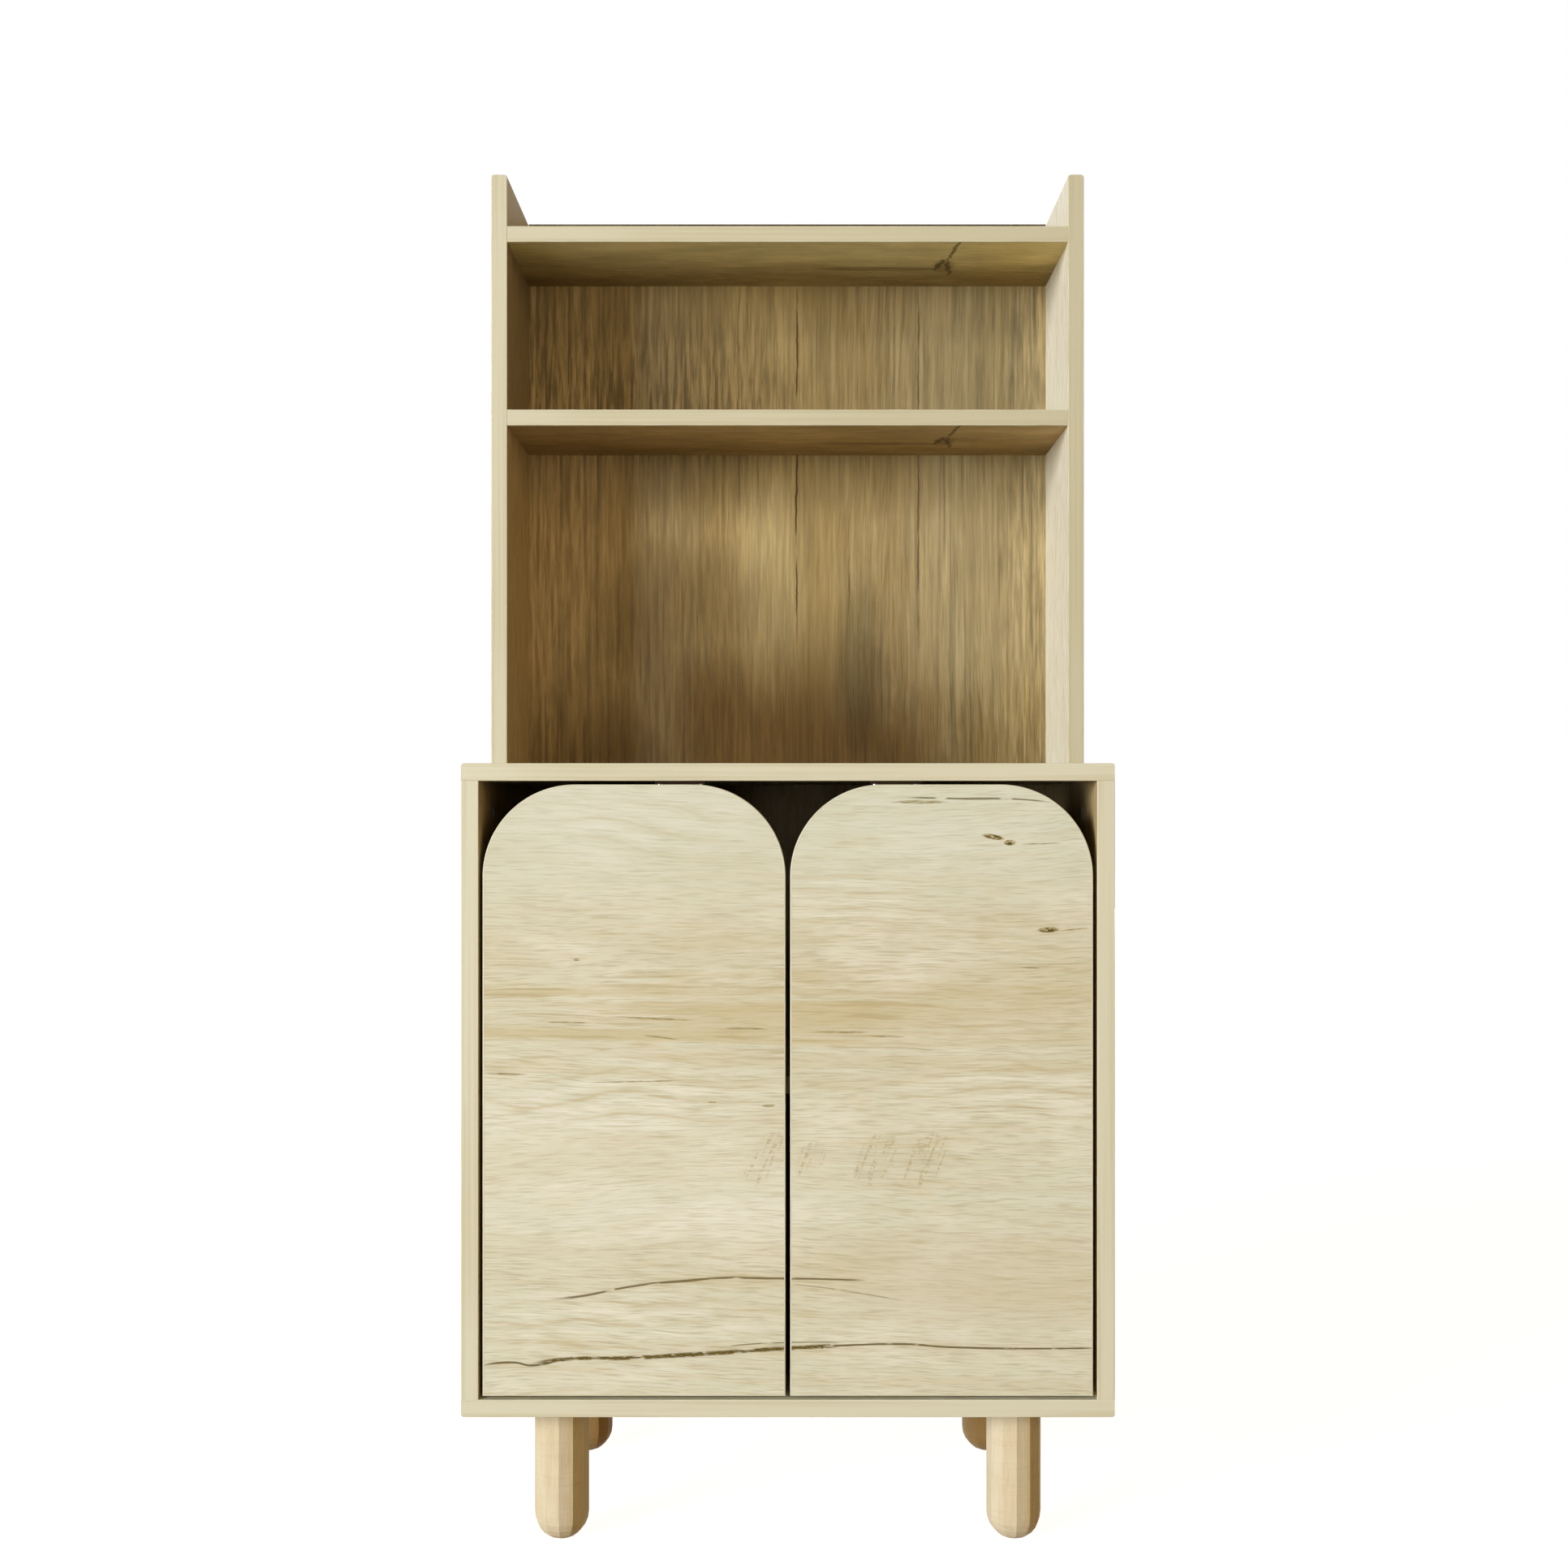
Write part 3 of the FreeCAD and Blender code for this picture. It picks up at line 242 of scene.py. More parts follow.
# %% Masks and new finishes
def strongest(masks):
    """The strongest of several masks at each point."""
    result = masks[0]
    for mask in masks[1:]:
        result = result.most(mask)
    return result


def new_finish(name):
    """A material with its shader, and the position on the piece in metres as a wire."""
    material = bpy.data.materials.new(name)
    material.use_nodes = True
    tree = material.node_tree
    where = tree.nodes.new("ShaderNodeTexCoord")
    return material, tree.nodes["Principled BSDF"], Wire(where.outputs["Object"])


def raise_grain(shader, height, depth):
    """Turn a height from zero to one into bump, depth metres deep."""
    node = height.add_node("ShaderNodeBump")
    set_inputs(node, distance=depth, height=height)
    set_inputs(shader, normal=Wire(node.outputs[0]))


print("masks and finishes ready")

# %% [markdown]
# ## White surroundings
# The photograph has no visible floor: everything around the hutch is white. The sky is therefore white to
# the camera and in the steel's reflections, but dim and warm where it lights the boards. The floor is a
# pale plane that also glows for the camera, fully so some metres away. It meets the sky without a line, and
# keeps a faint shadow under the cabinet. A plain white floor would be simpler, but its far edge would show.

# %% Sky and floor
SKY_LIGHT = (0.165, 0.115, 0.06)
FLOOR_SPAN = 40.0
FLOOR_PALE = (0.46, 0.39, 0.29, 1.0)
FLOOR_GLOW = 0.93
FLOOR_FADE = (1.5, 5.0)


def seen(tree):
    """One where a ray shows the background, in a mirror or glass too, and zero where it only lights."""
    path = tree.nodes.new("ShaderNodeLightPath")
    kinds = ("Camera", "Glossy", "Transmission")
    return strongest([Wire(path.outputs[f"Is {kind} Ray"]) for kind in kinds])


world = bpy.data.worlds.new("white_surroundings")
world.use_nodes = True
scene.world = world
sky = world.node_tree
plug(sky.nodes["Background"].inputs["Color"], seen(sky).tint(SKY_LIGHT, WHITE))

floor_mesh = bpy.data.meshes.new("floor")
half = FLOOR_SPAN / 2
floor_corners = [(-half, -half, 0), (half, -half, 0), (half, half, 0), (-half, half, 0)]
floor_mesh.from_pydata(floor_corners, [], [(0, 1, 2, 3)])
floor = bpy.data.objects.new("floor", floor_mesh)
scene.collection.objects.link(floor)
floor_paint, floor_shader, floor_where = new_finish("pale_floor")
far_off = floor_where.vector_math("LENGTH", output="Value")
glow = seen(floor_paint.node_tree) * far_off.step(*FLOOR_FADE, FLOOR_GLOW, 1.0)
set_inputs(floor_shader, base_color=FLOOR_PALE, roughness=1.0, specular_ior_level=0.0,
           emission_color=(*WHITE, 1.0), emission_strength=glow)
floor_mesh.materials.append(floor_paint)
print("white sky and a pale floor")

# %% [markdown]
# ## Oak
# Oak decor is printed from a photograph of real boards, so it has what real oak has. Growth rings cut
# lengthwise give wavy bands some centimetres wide. Fibres give fine streaks a few millimetres wide, and
# open pores short dark dashes along them. Where the cut runs flat to the rings, pale clouds show. Each of
# these is noise whose cells are drawn out along the grain, and a slow noise across the grain bends them all
# alike, as growth does. The built-in Wave texture could draw the rings, but its even spacing gives it away.

# %% Oak grain
X, Y, Z = range(3)


def drawn_out(where, grain, along, across, seed, detail=2.0, roughness=0.5):
    """Noise whose cells are drawn out along the grain: cells per metre along it and across it."""
    cells = tuple(along if axis == grain else across for axis in range(3))
    return where.noise(cells, detail, roughness, (seed, seed * 1.7, seed * 2.3))


def oak_grain(where, grain, across, seed, length=1.0):
    """The patterns of an oak board as wires from zero to one. A larger length draws out the finest ones."""
    slow = drawn_out(where, grain, 1.6, 5.0, seed, 1.0)
    quick = drawn_out(where, grain, 11.0, 30.0, seed)
    bent = where.moved(across, (slow - 0.5) * 0.05 + (quick - 0.5) * 0.006)
    return SimpleNamespace(
        bands=drawn_out(bent, grain, 0.6, 9.0, seed, 1.0),
        rings=drawn_out(bent, grain, 2.0, 75.0, seed + 1.0, 3.0, 0.6),
        dashes=drawn_out(bent, grain, 8.0, 260.0, seed + 2.0, 1.0),
        fibres=drawn_out(bent, grain, 22.0 / length, 430.0, seed + 3.0, 3.0, 0.7),
        hairs=drawn_out(bent, grain, 45.0 / length, 700.0, seed + 5.0, 1.0),
        clouds=drawn_out(where, grain, 7.0, 18.0, seed + 4.0, 4.0, 0.65),
        blush=drawn_out(bent, grain, 13.0, 70.0, seed + 6.0, 3.0, 0.6))


print("oak grain: seven patterns")

# %% Oak boards
BLUSH = (1.08, 1.06, 1.06)
PORE_DEPTH = 0.0001
LACQUER_ROUGHNESS = 0.5
LACQUER_SHINE = 0.1


def oak_colour(grain, pale, tan, dark, chalk):
    """Pale wood, tan in bands and rings, chalky in clouds, rosy in a blush, with pale and dark fibres."""
    rosy = tuple(part * factor for part, factor in zip(tan, BLUSH))
    ringed = grain.rings.step(0.35, 0.75) * 0.35 + grain.bands.step(0.35, 0.7) * 0.45
    return ringed.tint(pale, tan).coated(
        (grain.clouds.step(0.46, 0.68) * 0.62, chalk),
        (grain.blush.step(0.52, 0.7) * 0.4, rosy),
        (grain.fibres.step(0.46, 0.28) * 0.48, chalk),
        (grain.fibres.step(0.5, 0.76) * 0.36, dark),
        (grain.hairs.step(0.48, 0.72) * 0.36, dark),
        (grain.dashes.step(0.6, 0.74) * grain.bands.step(0.38, 0.62) * 0.3, dark))


def oak_surface(shader, colour, grain, dents=0.0):
    """Oak under a matte lacquer: fibres and open pores as shallow bump, and a duller shine in the pores."""
    raise_grain(shader, grain.hairs * 0.5 + grain.fibres.step(0.75, 0.35) - dents, PORE_DEPTH)
    dullness = grain.fibres.step(0.4, 0.75) * 0.14 + LACQUER_ROUGHNESS
    set_inputs(shader, base_color=colour, roughness=dullness, specular_ior_level=LACQUER_SHINE)


PALE_OAK = (0.7, 0.716, 0.588)
TAN_OAK = (0.615, 0.566, 0.38)
DARK_OAK = (0.355, 0.29, 0.122)
CHALK_OAK = (0.8, 0.795, 0.69)
OAK = (PALE_OAK, TAN_OAK, DARK_OAK, CHALK_OAK)
THIN_OAK = ((0.42, 0.35, 0.21), (0.34, 0.265, 0.145), (0.2, 0.145, 0.07), (0.47, 0.4, 0.26))


def oak_board(name, grain, across, seed, colours=OAK):
    material, shader, where = new_finish(name)
    patterns = oak_grain(where, grain, across, seed)
    oak_surface(shader, oak_colour(patterns, *colours), patterns)
    return material


level_oak = oak_board("level_oak", X, Y, 8.4)
thin_oak = oak_board("thin_oak", Z, X, 4.6, THIN_OAK)
print("oak boards with level and upright grain")


# %% Put finishes on nodes
def finish_nodes(material, *names):
    for name in names:
        mesh = nodes[name].data
        mesh.materials.clear()
        mesh.materials.append(material)
    print(f"{material.name}: {', '.join(names)}")


finish_nodes(level_oak, "base_top", "base_bottom", "inner_shelf")
finish_nodes(thin_oak, "base_back")

# %% [markdown]
# ## Sides
# The four upright sides are the palest boards: the right one inside the hutch is as bright as anything in
# the photograph. The inner faces of the cupboard, and of the hutch's left side, lie in shade, and that
# shade is painted on them in a brown like the back's. Each face could have its own material, but the CAD
# mesh stays as it is, so one material picks a face by its position.

# %% Side finish
INNER_X = 0.3195
COUNTER_HEIGHT = 0.825
TRAY_HEIGHT = 1.4415
SOFT_EDGE = 0.002
SIDE_OAK = ((0.835, 0.815, 0.705), (0.775, 0.735, 0.585), DARK_OAK, (0.86, 0.85, 0.765))
PAINTED_SHADE_LIGHT = (0.52, 0.38, 0.175)
PAINTED_SHADE_DARK = (0.33, 0.225, 0.085)
TRAY_PAINTED_SHADE = (0.47, 0.365, 0.155)


def near(value, place):
    """One within a millimetre of a place, and zero three millimetres away."""
    return (value - place).size().step(0.003, 0.001)


def under(value, height):
    return value.step(height + SOFT_EDGE, height - SOFT_EDGE)


upright_oak, shader, where = new_finish("upright_oak")
grain = oak_grain(where, Z, Y, 3.1)
x, _, z = where.parts()
at_inner_face = near(x.size(), INNER_X)
on_left = x.step(0.1, -0.1)
inner_face = at_inner_face * under(z, COUNTER_HEIGHT).most(on_left * under(z, TRAY_HEIGHT))
in_left_tray = at_inner_face * on_left * z.step(TRAY_HEIGHT - SOFT_EDGE, TRAY_HEIGHT + SOFT_EDGE)
# Painted shade on the inner faces: brown, darker above the middle shelf, and a lighter painted shade on the
# left side's inner face above the top shelf.
painted_shade = grain.fibres.step(0.3, 0.7).tint(PAINTED_SHADE_LIGHT, PAINTED_SHADE_DARK)
painted_shade = painted_shade.times(1.0 - z.step(1.2, 1.26) * 0.38)
colour = oak_colour(grain, *SIDE_OAK).coated((inner_face * 0.92, painted_shade), (in_left_tray * 0.75, TRAY_PAINTED_SHADE))
oak_surface(shader, colour, grain)
finish_nodes(upright_oak, "base_left_side", "base_right_side", "hutch_left_side", "hutch_right_side")

# %% [markdown]
# ## Doors
# One printed sheet runs across both doors, so the grain lies level and goes on from the left door to the
# right. It shows two long cracks near the bottom, small knots at the upper right, dark streaks across the
# middle and a patch of slanting pores, and it is calmer at the top and at the lower right. Each mark is
# placed in metres. A crack is a curve through a few points, and its darkness is the distance from that
# curve, broken up by noise. A picture of the sheet would be quicker, but it can't be recoloured or
# used without its file.

# %% Cracks and streaks
SHEET_LEFT = -0.32
SHEET_WIDTH = 0.64
SHEET_LOW = 0.16
SHEET_HEIGHT = 0.66


def curve_height(x, points):
    """The height of a smooth curve through (x, z) points, as a wire over x."""
    node = x.add_node("ShaderNodeFloatCurve")
    line = node.mapping.curves[0]
    spots = [((px - SHEET_LEFT) / SHEET_WIDTH, (pz - SHEET_LOW) / SHEET_HEIGHT) for px, pz in points]
    line.points[0].location = spots[0]
    line.points[1].location = spots[-1]
    for spot in spots[1:-1]:
        line.points.new(*spot)
    node.mapping.extend = "HORIZONTAL"
    node.mapping.update()
    plug(node.inputs["Value"], (x - SHEET_LEFT) / SHEET_WIDTH)
    return Wire(node.outputs[0]) * SHEET_HEIGHT + SHEET_LOW


def crack(where, points, width, gaps, seed):
    """Darkness of a crack: one on its curve, zero at its ragged edge, broken where noise is under gaps."""
    x, _, z = where.parts()
    ragged = where.noise((60.0, 0.0, 300.0), 3.0, shift=(seed, 0.0, 0.0))
    open_here = where.noise((42.0, 0.0, 90.0), shift=(seed * 3.0, 0.0, 0.0))
    swelling = where.noise((13.0, 0.0, 0.0), 1.0, shift=(seed * 5.0, 0.0, 0.0))
    edge = (ragged * 0.7 + swelling * 1.2 - 0.05) * width
    inside = (z - curve_height(x, points)).size() / edge
    left, right = points[0][0], points[-1][0]
    ends = x.step(left - 0.004, left + 0.02) * x.step(right + 0.004, right - 0.02)
    return inside.step(1.0, 0.35) * open_here.step(gaps - 0.06, gaps + 0.06) * ends


def streak(along, across, middle, height, length, width, slope=0.0):
    """Darkness of a soft streak: a bell over its half length and half width, sloped across the grain."""
    far = (along - middle) / length
    off = (across - height - (along - middle) * slope) / width
    return (far * far + off * off).step(1.0, 0.0)


def streaks(along, across, marks):
    return strongest([streak(along, across, *mark) for mark in marks])


print(f"cracks and streaks on a sheet of {SHEET_WIDTH} by {SHEET_HEIGHT} m")

# %% Where the doors' marks are
# A curve is (x, z) points. A split has a curve, width, gaps, seed and darkness. A streak, knot or place
# has its middle x and z, half length, half width and slope.
LOWER_CRACK = ((-0.32, 0.2025), (-0.282, 0.2065), (-0.266, 0.2035), (-0.227, 0.21), (-0.17, 0.211),
               (-0.08, 0.216), (-0.004, 0.221), (0.055, 0.224), (0.12, 0.2255), (0.165, 0.2225),
               (0.32, 0.2215))
UPPER_CRACK = ((-0.24, 0.272), (-0.207, 0.276), (-0.173, 0.283), (-0.142, 0.2877), (-0.1, 0.2912),
               (-0.069, 0.2938), (-0.028, 0.2935), (0.042, 0.2925), (0.08, 0.291))
SECOND_CRACK = ((-0.07, 0.222), (-0.045, 0.225), (-0.006, 0.227), (0.06, 0.2275))
FALLING_CRACK = ((-0.004, 0.288), (0.042, 0.283), (0.08, 0.277), (0.122, 0.27))
TOP_CRACK = ((0.12, 0.79), (0.176, 0.7885), (0.24, 0.7878), (0.272, 0.7845))
THIN_SPLITS = ((LOWER_CRACK, 0.0016, 0.4, 6.0, 0.9), (UPPER_CRACK, 0.0018, 0.38, 2.0, 0.85),
               (SECOND_CRACK, 0.0011, 0.4, 3.0, 0.7), (FALLING_CRACK, 0.0011, 0.42, 3.5, 0.4),
               (TOP_CRACK, 0.0014, 0.4, 4.0, 0.8))
STREAKS = (
    (-0.139, 0.5615, 0.05, 0.0014, -0.045), (-0.228, 0.5575, 0.03, 0.0012, -0.02),
    (-0.043, 0.5512, 0.028, 0.0013, -0.02), (-0.131, 0.542, 0.024, 0.0011, -0.12),
    (-0.292, 0.5045, 0.028, 0.0014, -0.03), (0.054, 0.5475, 0.036, 0.0014, 0.0),
    (0.103, 0.543, 0.022, 0.0012, -0.02), (-0.078, 0.4752, 0.006, 0.0012, 0.0),
    (-0.02, 0.4715, 0.009, 0.002, 0.05), (-0.218, 0.622, 0.004, 0.0016, 0.0),
    (0.25, 0.614, 0.014, 0.0011, -0.03), (0.136, 0.785, 0.034, 0.0024, 0.0),
    (0.296, 0.6535, 0.02, 0.001, 0.1), (0.262, 0.742, 0.026, 0.0009, 0.03),
    (-0.158, 0.4965, 0.06, 0.0011, 0.02),
)
KNOTS = ((0.212, 0.749, 0.014, 0.0034, -0.17), (0.229, 0.743, 0.0075, 0.0038, 0.0),
         (0.269, 0.653, 0.014, 0.0036, 0.03))
SLANT = 0.38
SLANTING_PORES = ((-0.024, 0.4165, 0.022, 0.034), (0.023, 0.417, 0.018, 0.022),
                  (0.09, 0.4165, 0.024, 0.034), (0.142, 0.416, 0.026, 0.034))
WAVY_PLACES = ((-0.16, 0.48, 0.19, 0.055), (0.225, 0.485, 0.15, 0.045), (-0.17, 0.245, 0.18, 0.045),
               (-0.15, 0.755, 0.15, 0.045), (0.06, 0.68, 0.12, 0.04))
CALM_PLACE = (0.2, 0.295, 0.2, 0.075)
PALE_PLACE = (-0.17, 0.395, 0.33, 0.11)
print(f"{len(STREAKS)} streaks, {len(KNOTS)} knots and five cracks on the doors")

# %% Door grain
RING_CELLS = 95.0
RING_BEND = 6.5
DOOR_DRAW = 1.35
TAN_BAND = (0.56, 0.47, 0.258)
TAN_DASH = (0.4, 0.31, 0.135)
PALE_WAVE = (0.835, 0.835, 0.745)
TAN_WAVE = (0.52, 0.43, 0.24)


def wavy_rings(where, grain, across, seed):
    """Contour lines of a slope bent by noise: nested arches, as where a cut runs flat to the rings."""
    bend = drawn_out(where, grain, 5.0, 10.0, seed)
    slope = where.parts()[across] * RING_CELLS + bend * RING_BEND
    return slope.math("PINGPONG", 1.0)


door_oak, shader, where = new_finish("door_oak")
x, y, z = where.parts()
grain = oak_grain(where, X, Z, 5.7, DOOR_DRAW)
band_z = z + (grain.bands - 0.5) * 0.06 + (grain.clouds - 0.5) * 0.1
tan_band = band_z.step(0.48, 0.545) * band_z.step(0.665, 0.565) * (x.step(0.22, 0.02) * 0.4 + 0.6)
streaky = grain.rings.step(0.34, 0.6) * 0.8 + 0.2
wavy = wavy_rings(where, X, Z, 2.2)
wavy_here = streaks(x, z, WAVY_PLACES)
pale_waves = wavy.step(0.62, 0.2) * grain.fibres.step(0.6, 0.4) * wavy_here
tan_waves = wavy.step(0.72, 0.98) * grain.fibres.step(0.35, 0.55) * wavy_here
colour = oak_colour(grain, *OAK).coated(
    (tan_band * streaky * 0.62, TAN_BAND),
    (tan_band * grain.dashes.step(0.56, 0.7) * 0.45, TAN_DASH),
    (pale_waves * 0.6, PALE_WAVE),
    (tan_waves * 0.55, TAN_WAVE))
print("door grain with a tan band and wavy rings")

# %% Calm places on the doors
CALM_OAK = (0.65, 0.622, 0.482)
COOL_TOP = (1.01, 1.06, 1.12)
PALE_PATCH = (0.745, 0.735, 0.625)
PALE_GAIN = (1.045, 1.055, 1.085)
calm_top = z.step(0.6, 0.75) * (x.step(0.05, -0.05) * 0.16 + 0.32)
calm_low = streak(x, z, *CALM_PLACE) * 0.45
colour = colour.coated((calm_top.most(calm_low), CALM_OAK)).toned(z.step(0.66, 0.76), COOL_TOP)
pale_zone = streak(x, z, *PALE_PLACE)
colour = colour.coated((pale_zone * 0.2, PALE_PATCH)).toned(pale_zone, PALE_GAIN)
print("calm places on the doors")

# %% Marks on the doors
STREAK_BROWN = (0.285, 0.222, 0.072)
PORE_BROWN = (0.4, 0.32, 0.13)
KNOT_HALO = (0.45, 0.35, 0.12)
KNOT_BARK = (0.115, 0.085, 0.018)
CRACK_HALO = (0.48, 0.38, 0.19)
CRACK_BROWN = (0.12, 0.086, 0.015)
CRACK_DENT = 2.0
outer_face = y.step(-0.188, -0.194)
soft_marks = streaks(x, z, STREAKS)
broken = where.noise((110.0, 0.0, 900.0)).step(0.36, 0.6) * 0.6 + 0.4
slanted = where.moved(X, z * -SLANT)
flecks = slanted.noise((210.0, 0.0, 24.0), 1.0).step(0.48, 0.62)
dots = where.noise((130.0, 0.0, 360.0)).step(0.42, 0.6)
slanted_pores = [(x - z * SLANT, z, width, height) for x, z, width, height in SLANTING_PORES]
pore_patch = streaks(slanted.parts()[0], z, slanted_pores)
knots = streaks(x, z, KNOTS) * outer_face
knot_bark = where.noise((160.0, 0.0, 420.0))
halo = crack(where, LOWER_CRACK, 0.009, 0.0, 1.0).most(crack(where, UPPER_CRACK, 0.006, 0.0, 2.0))
splinters = where.noise((140.0, 0.0, 1100.0)).step(0.66, 0.54)
wide_split = crack(where, LOWER_CRACK[2:8], 0.0034, 0.42, 1.0) * splinters
thin_splits = [crack(where, *line) * darkness for *line, darkness in THIN_SPLITS]
splits = strongest([wide_split, *thin_splits]) * outer_face
colour = colour.coated(
    (soft_marks.step(0.0, 0.8) * broken * 0.85, STREAK_BROWN),
    (pore_patch.step(0.0, 0.5) * (flecks * dots * 0.5 + 0.06), PORE_BROWN),
    (knots.step(0.0, 0.45) * 0.55, KNOT_HALO),
    (knots.step(0.3, 0.8) * knot_bark.step(0.36, 0.56), KNOT_BARK),
    (halo * outer_face * 0.14, CRACK_HALO),
    (splits, CRACK_BROWN))
oak_surface(shader, colour, grain, splits * CRACK_DENT)
finish_nodes(door_oak, "left_door", "right_door")

# %% [markdown]
# ## The hutch's back
# The back stands in the hutch's shade. Its front face is browner than the doors', partly its decor and
# partly painted shade: upright grain with dark fibres and furrows, long cracks, painted light in the middle
# and a painted shadow low down beside it. The same oak recipe serves, with browner colours and marks that
# run upright. Lamps could make the shades, but not such ragged ones. A strip along the top is darkened,
# and the rear is plain.

# %% Back grain
def upright_crack(where, x_middle, width, top, bottom, seed):
    """A crack that runs up a board near one x, wandering a few millimetres, between two heights."""
    x, _, z = where.parts()
    wander = where.noise((0.0, 0.0, 5.0), shift=(seed, 0.0, 0.0)) - 0.5
    tremble = where.noise((0.0, 0.0, 60.0), shift=(seed * 4.0, 0.0, 0.0)) - 0.5
    open_here = where.noise((0.0, 0.0, 16.0), shift=(seed * 2.0, 0.0, 0.0))
    inside = (x - x_middle + wander * 0.01 + tremble * 0.003).size() / ((open_here * 1.6 + 0.2) * width)
    darkness = inside.step(1.0, 0.2) * open_here.step(0.3, 0.52)
    return darkness * z.step(bottom, bottom + 0.1) * z.step(top, top - 0.03)


BROWN_DARK = (0.105, 0.065, 0.016)
BROWN_OAK = ((0.4, 0.31, 0.15), (0.29, 0.205, 0.082), BROWN_DARK, (0.47, 0.385, 0.205))
BACK_DRAW = 2.5
GOLDEN_LINES = (0.48, 0.34, 0.13)
WARM_PAINTED_SHADE = (0.35, 0.262, 0.108)
RIGHT_PAINTED_LIGHT = (0.49, 0.415, 0.245)
MIDDLE_PAINTED_LIGHT = (0.5, 0.425, 0.23)
LEFT_PAINTED_LIGHT = (0.64, 0.53, 0.315)
back_oak, shader, where = new_finish("back_oak")
grain = oak_grain(where, Z, X, 12.9, BACK_DRAW)
x, y, z = where.parts()
lines = drawn_out(where, Z, 9.0, 240.0, 14.0, 3.0, 0.6)
long_lines = drawn_out(where, Z, 2.2, 135.0, 15.0)
golden = drawn_out(where, Z, 2.0, 120.0, 16.0, 1.0).step(0.52, 0.66) * x.step(0.22, 0.31)
right_painted_light = x.step(0.1, 0.18) * z.step(0.88, 0.98) * 0.36
middle_painted_light = streak(x, z, -0.022, 1.05, 0.06, 0.18) * 0.32
# The browner oak is partly decor and partly painted shade. Over it go a warmer, darker painted shade on the
# middle and left, painted light on the right part and in the middle, and painted light that lifts the left
# part, which lies in the left side's shadow.
colour = oak_colour(grain, *BROWN_OAK).coated(
    (golden * 0.6, GOLDEN_LINES),
    (x.step(0.14, 0.02) * 0.6, WARM_PAINTED_SHADE),
    (right_painted_light, RIGHT_PAINTED_LIGHT),
    (middle_painted_light, MIDDLE_PAINTED_LIGHT),
    (x.step(-0.08, -0.27) * 0.8, LEFT_PAINTED_LIGHT))
toward_ends = x.step(-0.14, -0.24).most(x.step(0.1, 0.2))
bold = (toward_ends * 0.2 + 0.15) * grain.clouds.step(0.3, 0.6)
furrows = drawn_out(where, Z, 15.0, 210.0, 17.0, 3.0, 0.65).step(0.36, 0.64) - 0.5
in_upper_bay = z.step(1.42, 1.28) * z.step(1.2, 1.24)
left_furrows = x.step(0.08, -0.06) * (in_upper_bay * 0.5 + 0.25) + x.step(-0.2, -0.28) * 0.15
colour = colour.times(
    1.08 - bold * long_lines.step(0.46, 0.64),
    lines.step(0.76, 0.24) * 0.36 + 0.82,
    1.0 - furrows * left_furrows.most(x.step(0.24, 0.3) * 0.4))
print("back grain with lines and furrows")

# %% Shades on the back
SHADE_TONE = (0.26, 0.19, 0.115)
SPLIT_BROWN = (0.05, 0.03, 0.008)
# A split on the back has its x, width, top, bottom, seed and darkness.
BACK_SPLITS = ((0.012, 0.0017, 1.43, 0.95, 1.0, 1.0), (-0.06, 0.0012, 1.43, 1.1, 2.0, 0.6),
               (0.162, 0.0016, 1.43, 0.95, 3.0, 0.8), (0.077, 0.0012, 1.1, 0.95, 4.0, 0.7))
REAR_OAK = ((0.61, 0.575, 0.41), TAN_OAK, DARK_OAK, CHALK_OAK)
# Painted shade in ragged patches: in the upper bay, at the lower left and falling over the lower middle.
ragged_z = z + (lines - 0.5) * 0.05 + (grain.clouds - 0.5) * 0.06
upper_painted_shade = streak(x, z, -0.11, 1.265, 0.14, 0.17) * 0.46
left_painted_shade = streak(x, ragged_z, -0.115, 0.985, 0.15, 0.15) * 0.58
falling_shade = (ragged_z + x * 0.25).step(1.08, 0.87) * 0.96
falling_shade = falling_shade * x.step(-0.27, -0.09) * (x.step(0.3, 0.12) * 0.7 + 0.3)
foot_shade = ragged_z.step(1.0, 0.84) * (x.step(-0.32, -0.18) * 0.22 + 0.53) * x.step(0.22, 0.1)
colour = colour.toned(strongest([upper_painted_shade, left_painted_shade, falling_shade, foot_shade]), SHADE_TONE)
# A wisp of painted shadow low in the middle, a darker strip along the top edge, and painted light at the
# top of each bay under the shelves. The back is also a tenth darker right of the middle and a sixth darker
# in the upper bay.
painted_shadow_wisp = streak(x, ragged_z, 0.092, 0.95, 0.04, 0.15) * 0.42
dark_top_strip = z.step(1.495, 1.4965) * 0.8
painted_light_under_shelves = z.step(1.36, 1.42) * 0.36 + z.step(1.165, 1.21) * z.step(1.25, 1.23) * 0.15
colour = colour.times(
    1.0 - x.step(-0.02, 0.05) * 0.09 - z.step(1.18, 1.25) * 0.17,
    1.0 - painted_shadow_wisp.most(dark_top_strip),
    painted_light_under_shelves + 1.0)
back_splits = strongest([upright_crack(where, *line) * darkness for *line, darkness in BACK_SPLITS])
plain_rear = oak_colour(grain, *REAR_OAK)
colour = colour.coated((back_splits * 0.9, SPLIT_BROWN), (y.step(0.19, 0.193), plain_rear))
oak_surface(shader, colour, grain)
finish_nodes(back_oak, "hutch_back")

# %% [markdown]
# ## The hutch's shelves
# From below, the two shelves show the same printed sheet: a forked split that starts at the front edge
# right of the middle and ends in a small knot, with a dark streak going left from there. The marks are
# streaks again, laid out over the shelf's width and depth. The undersides also carry painted light and
# shade: browner overall, lighter towards the front edge, darker towards the back, at the top shelf's ends
# and on the middle shelf. The upper faces are out of sight in the photograph, and they get plain pale oak,
# like the counter.

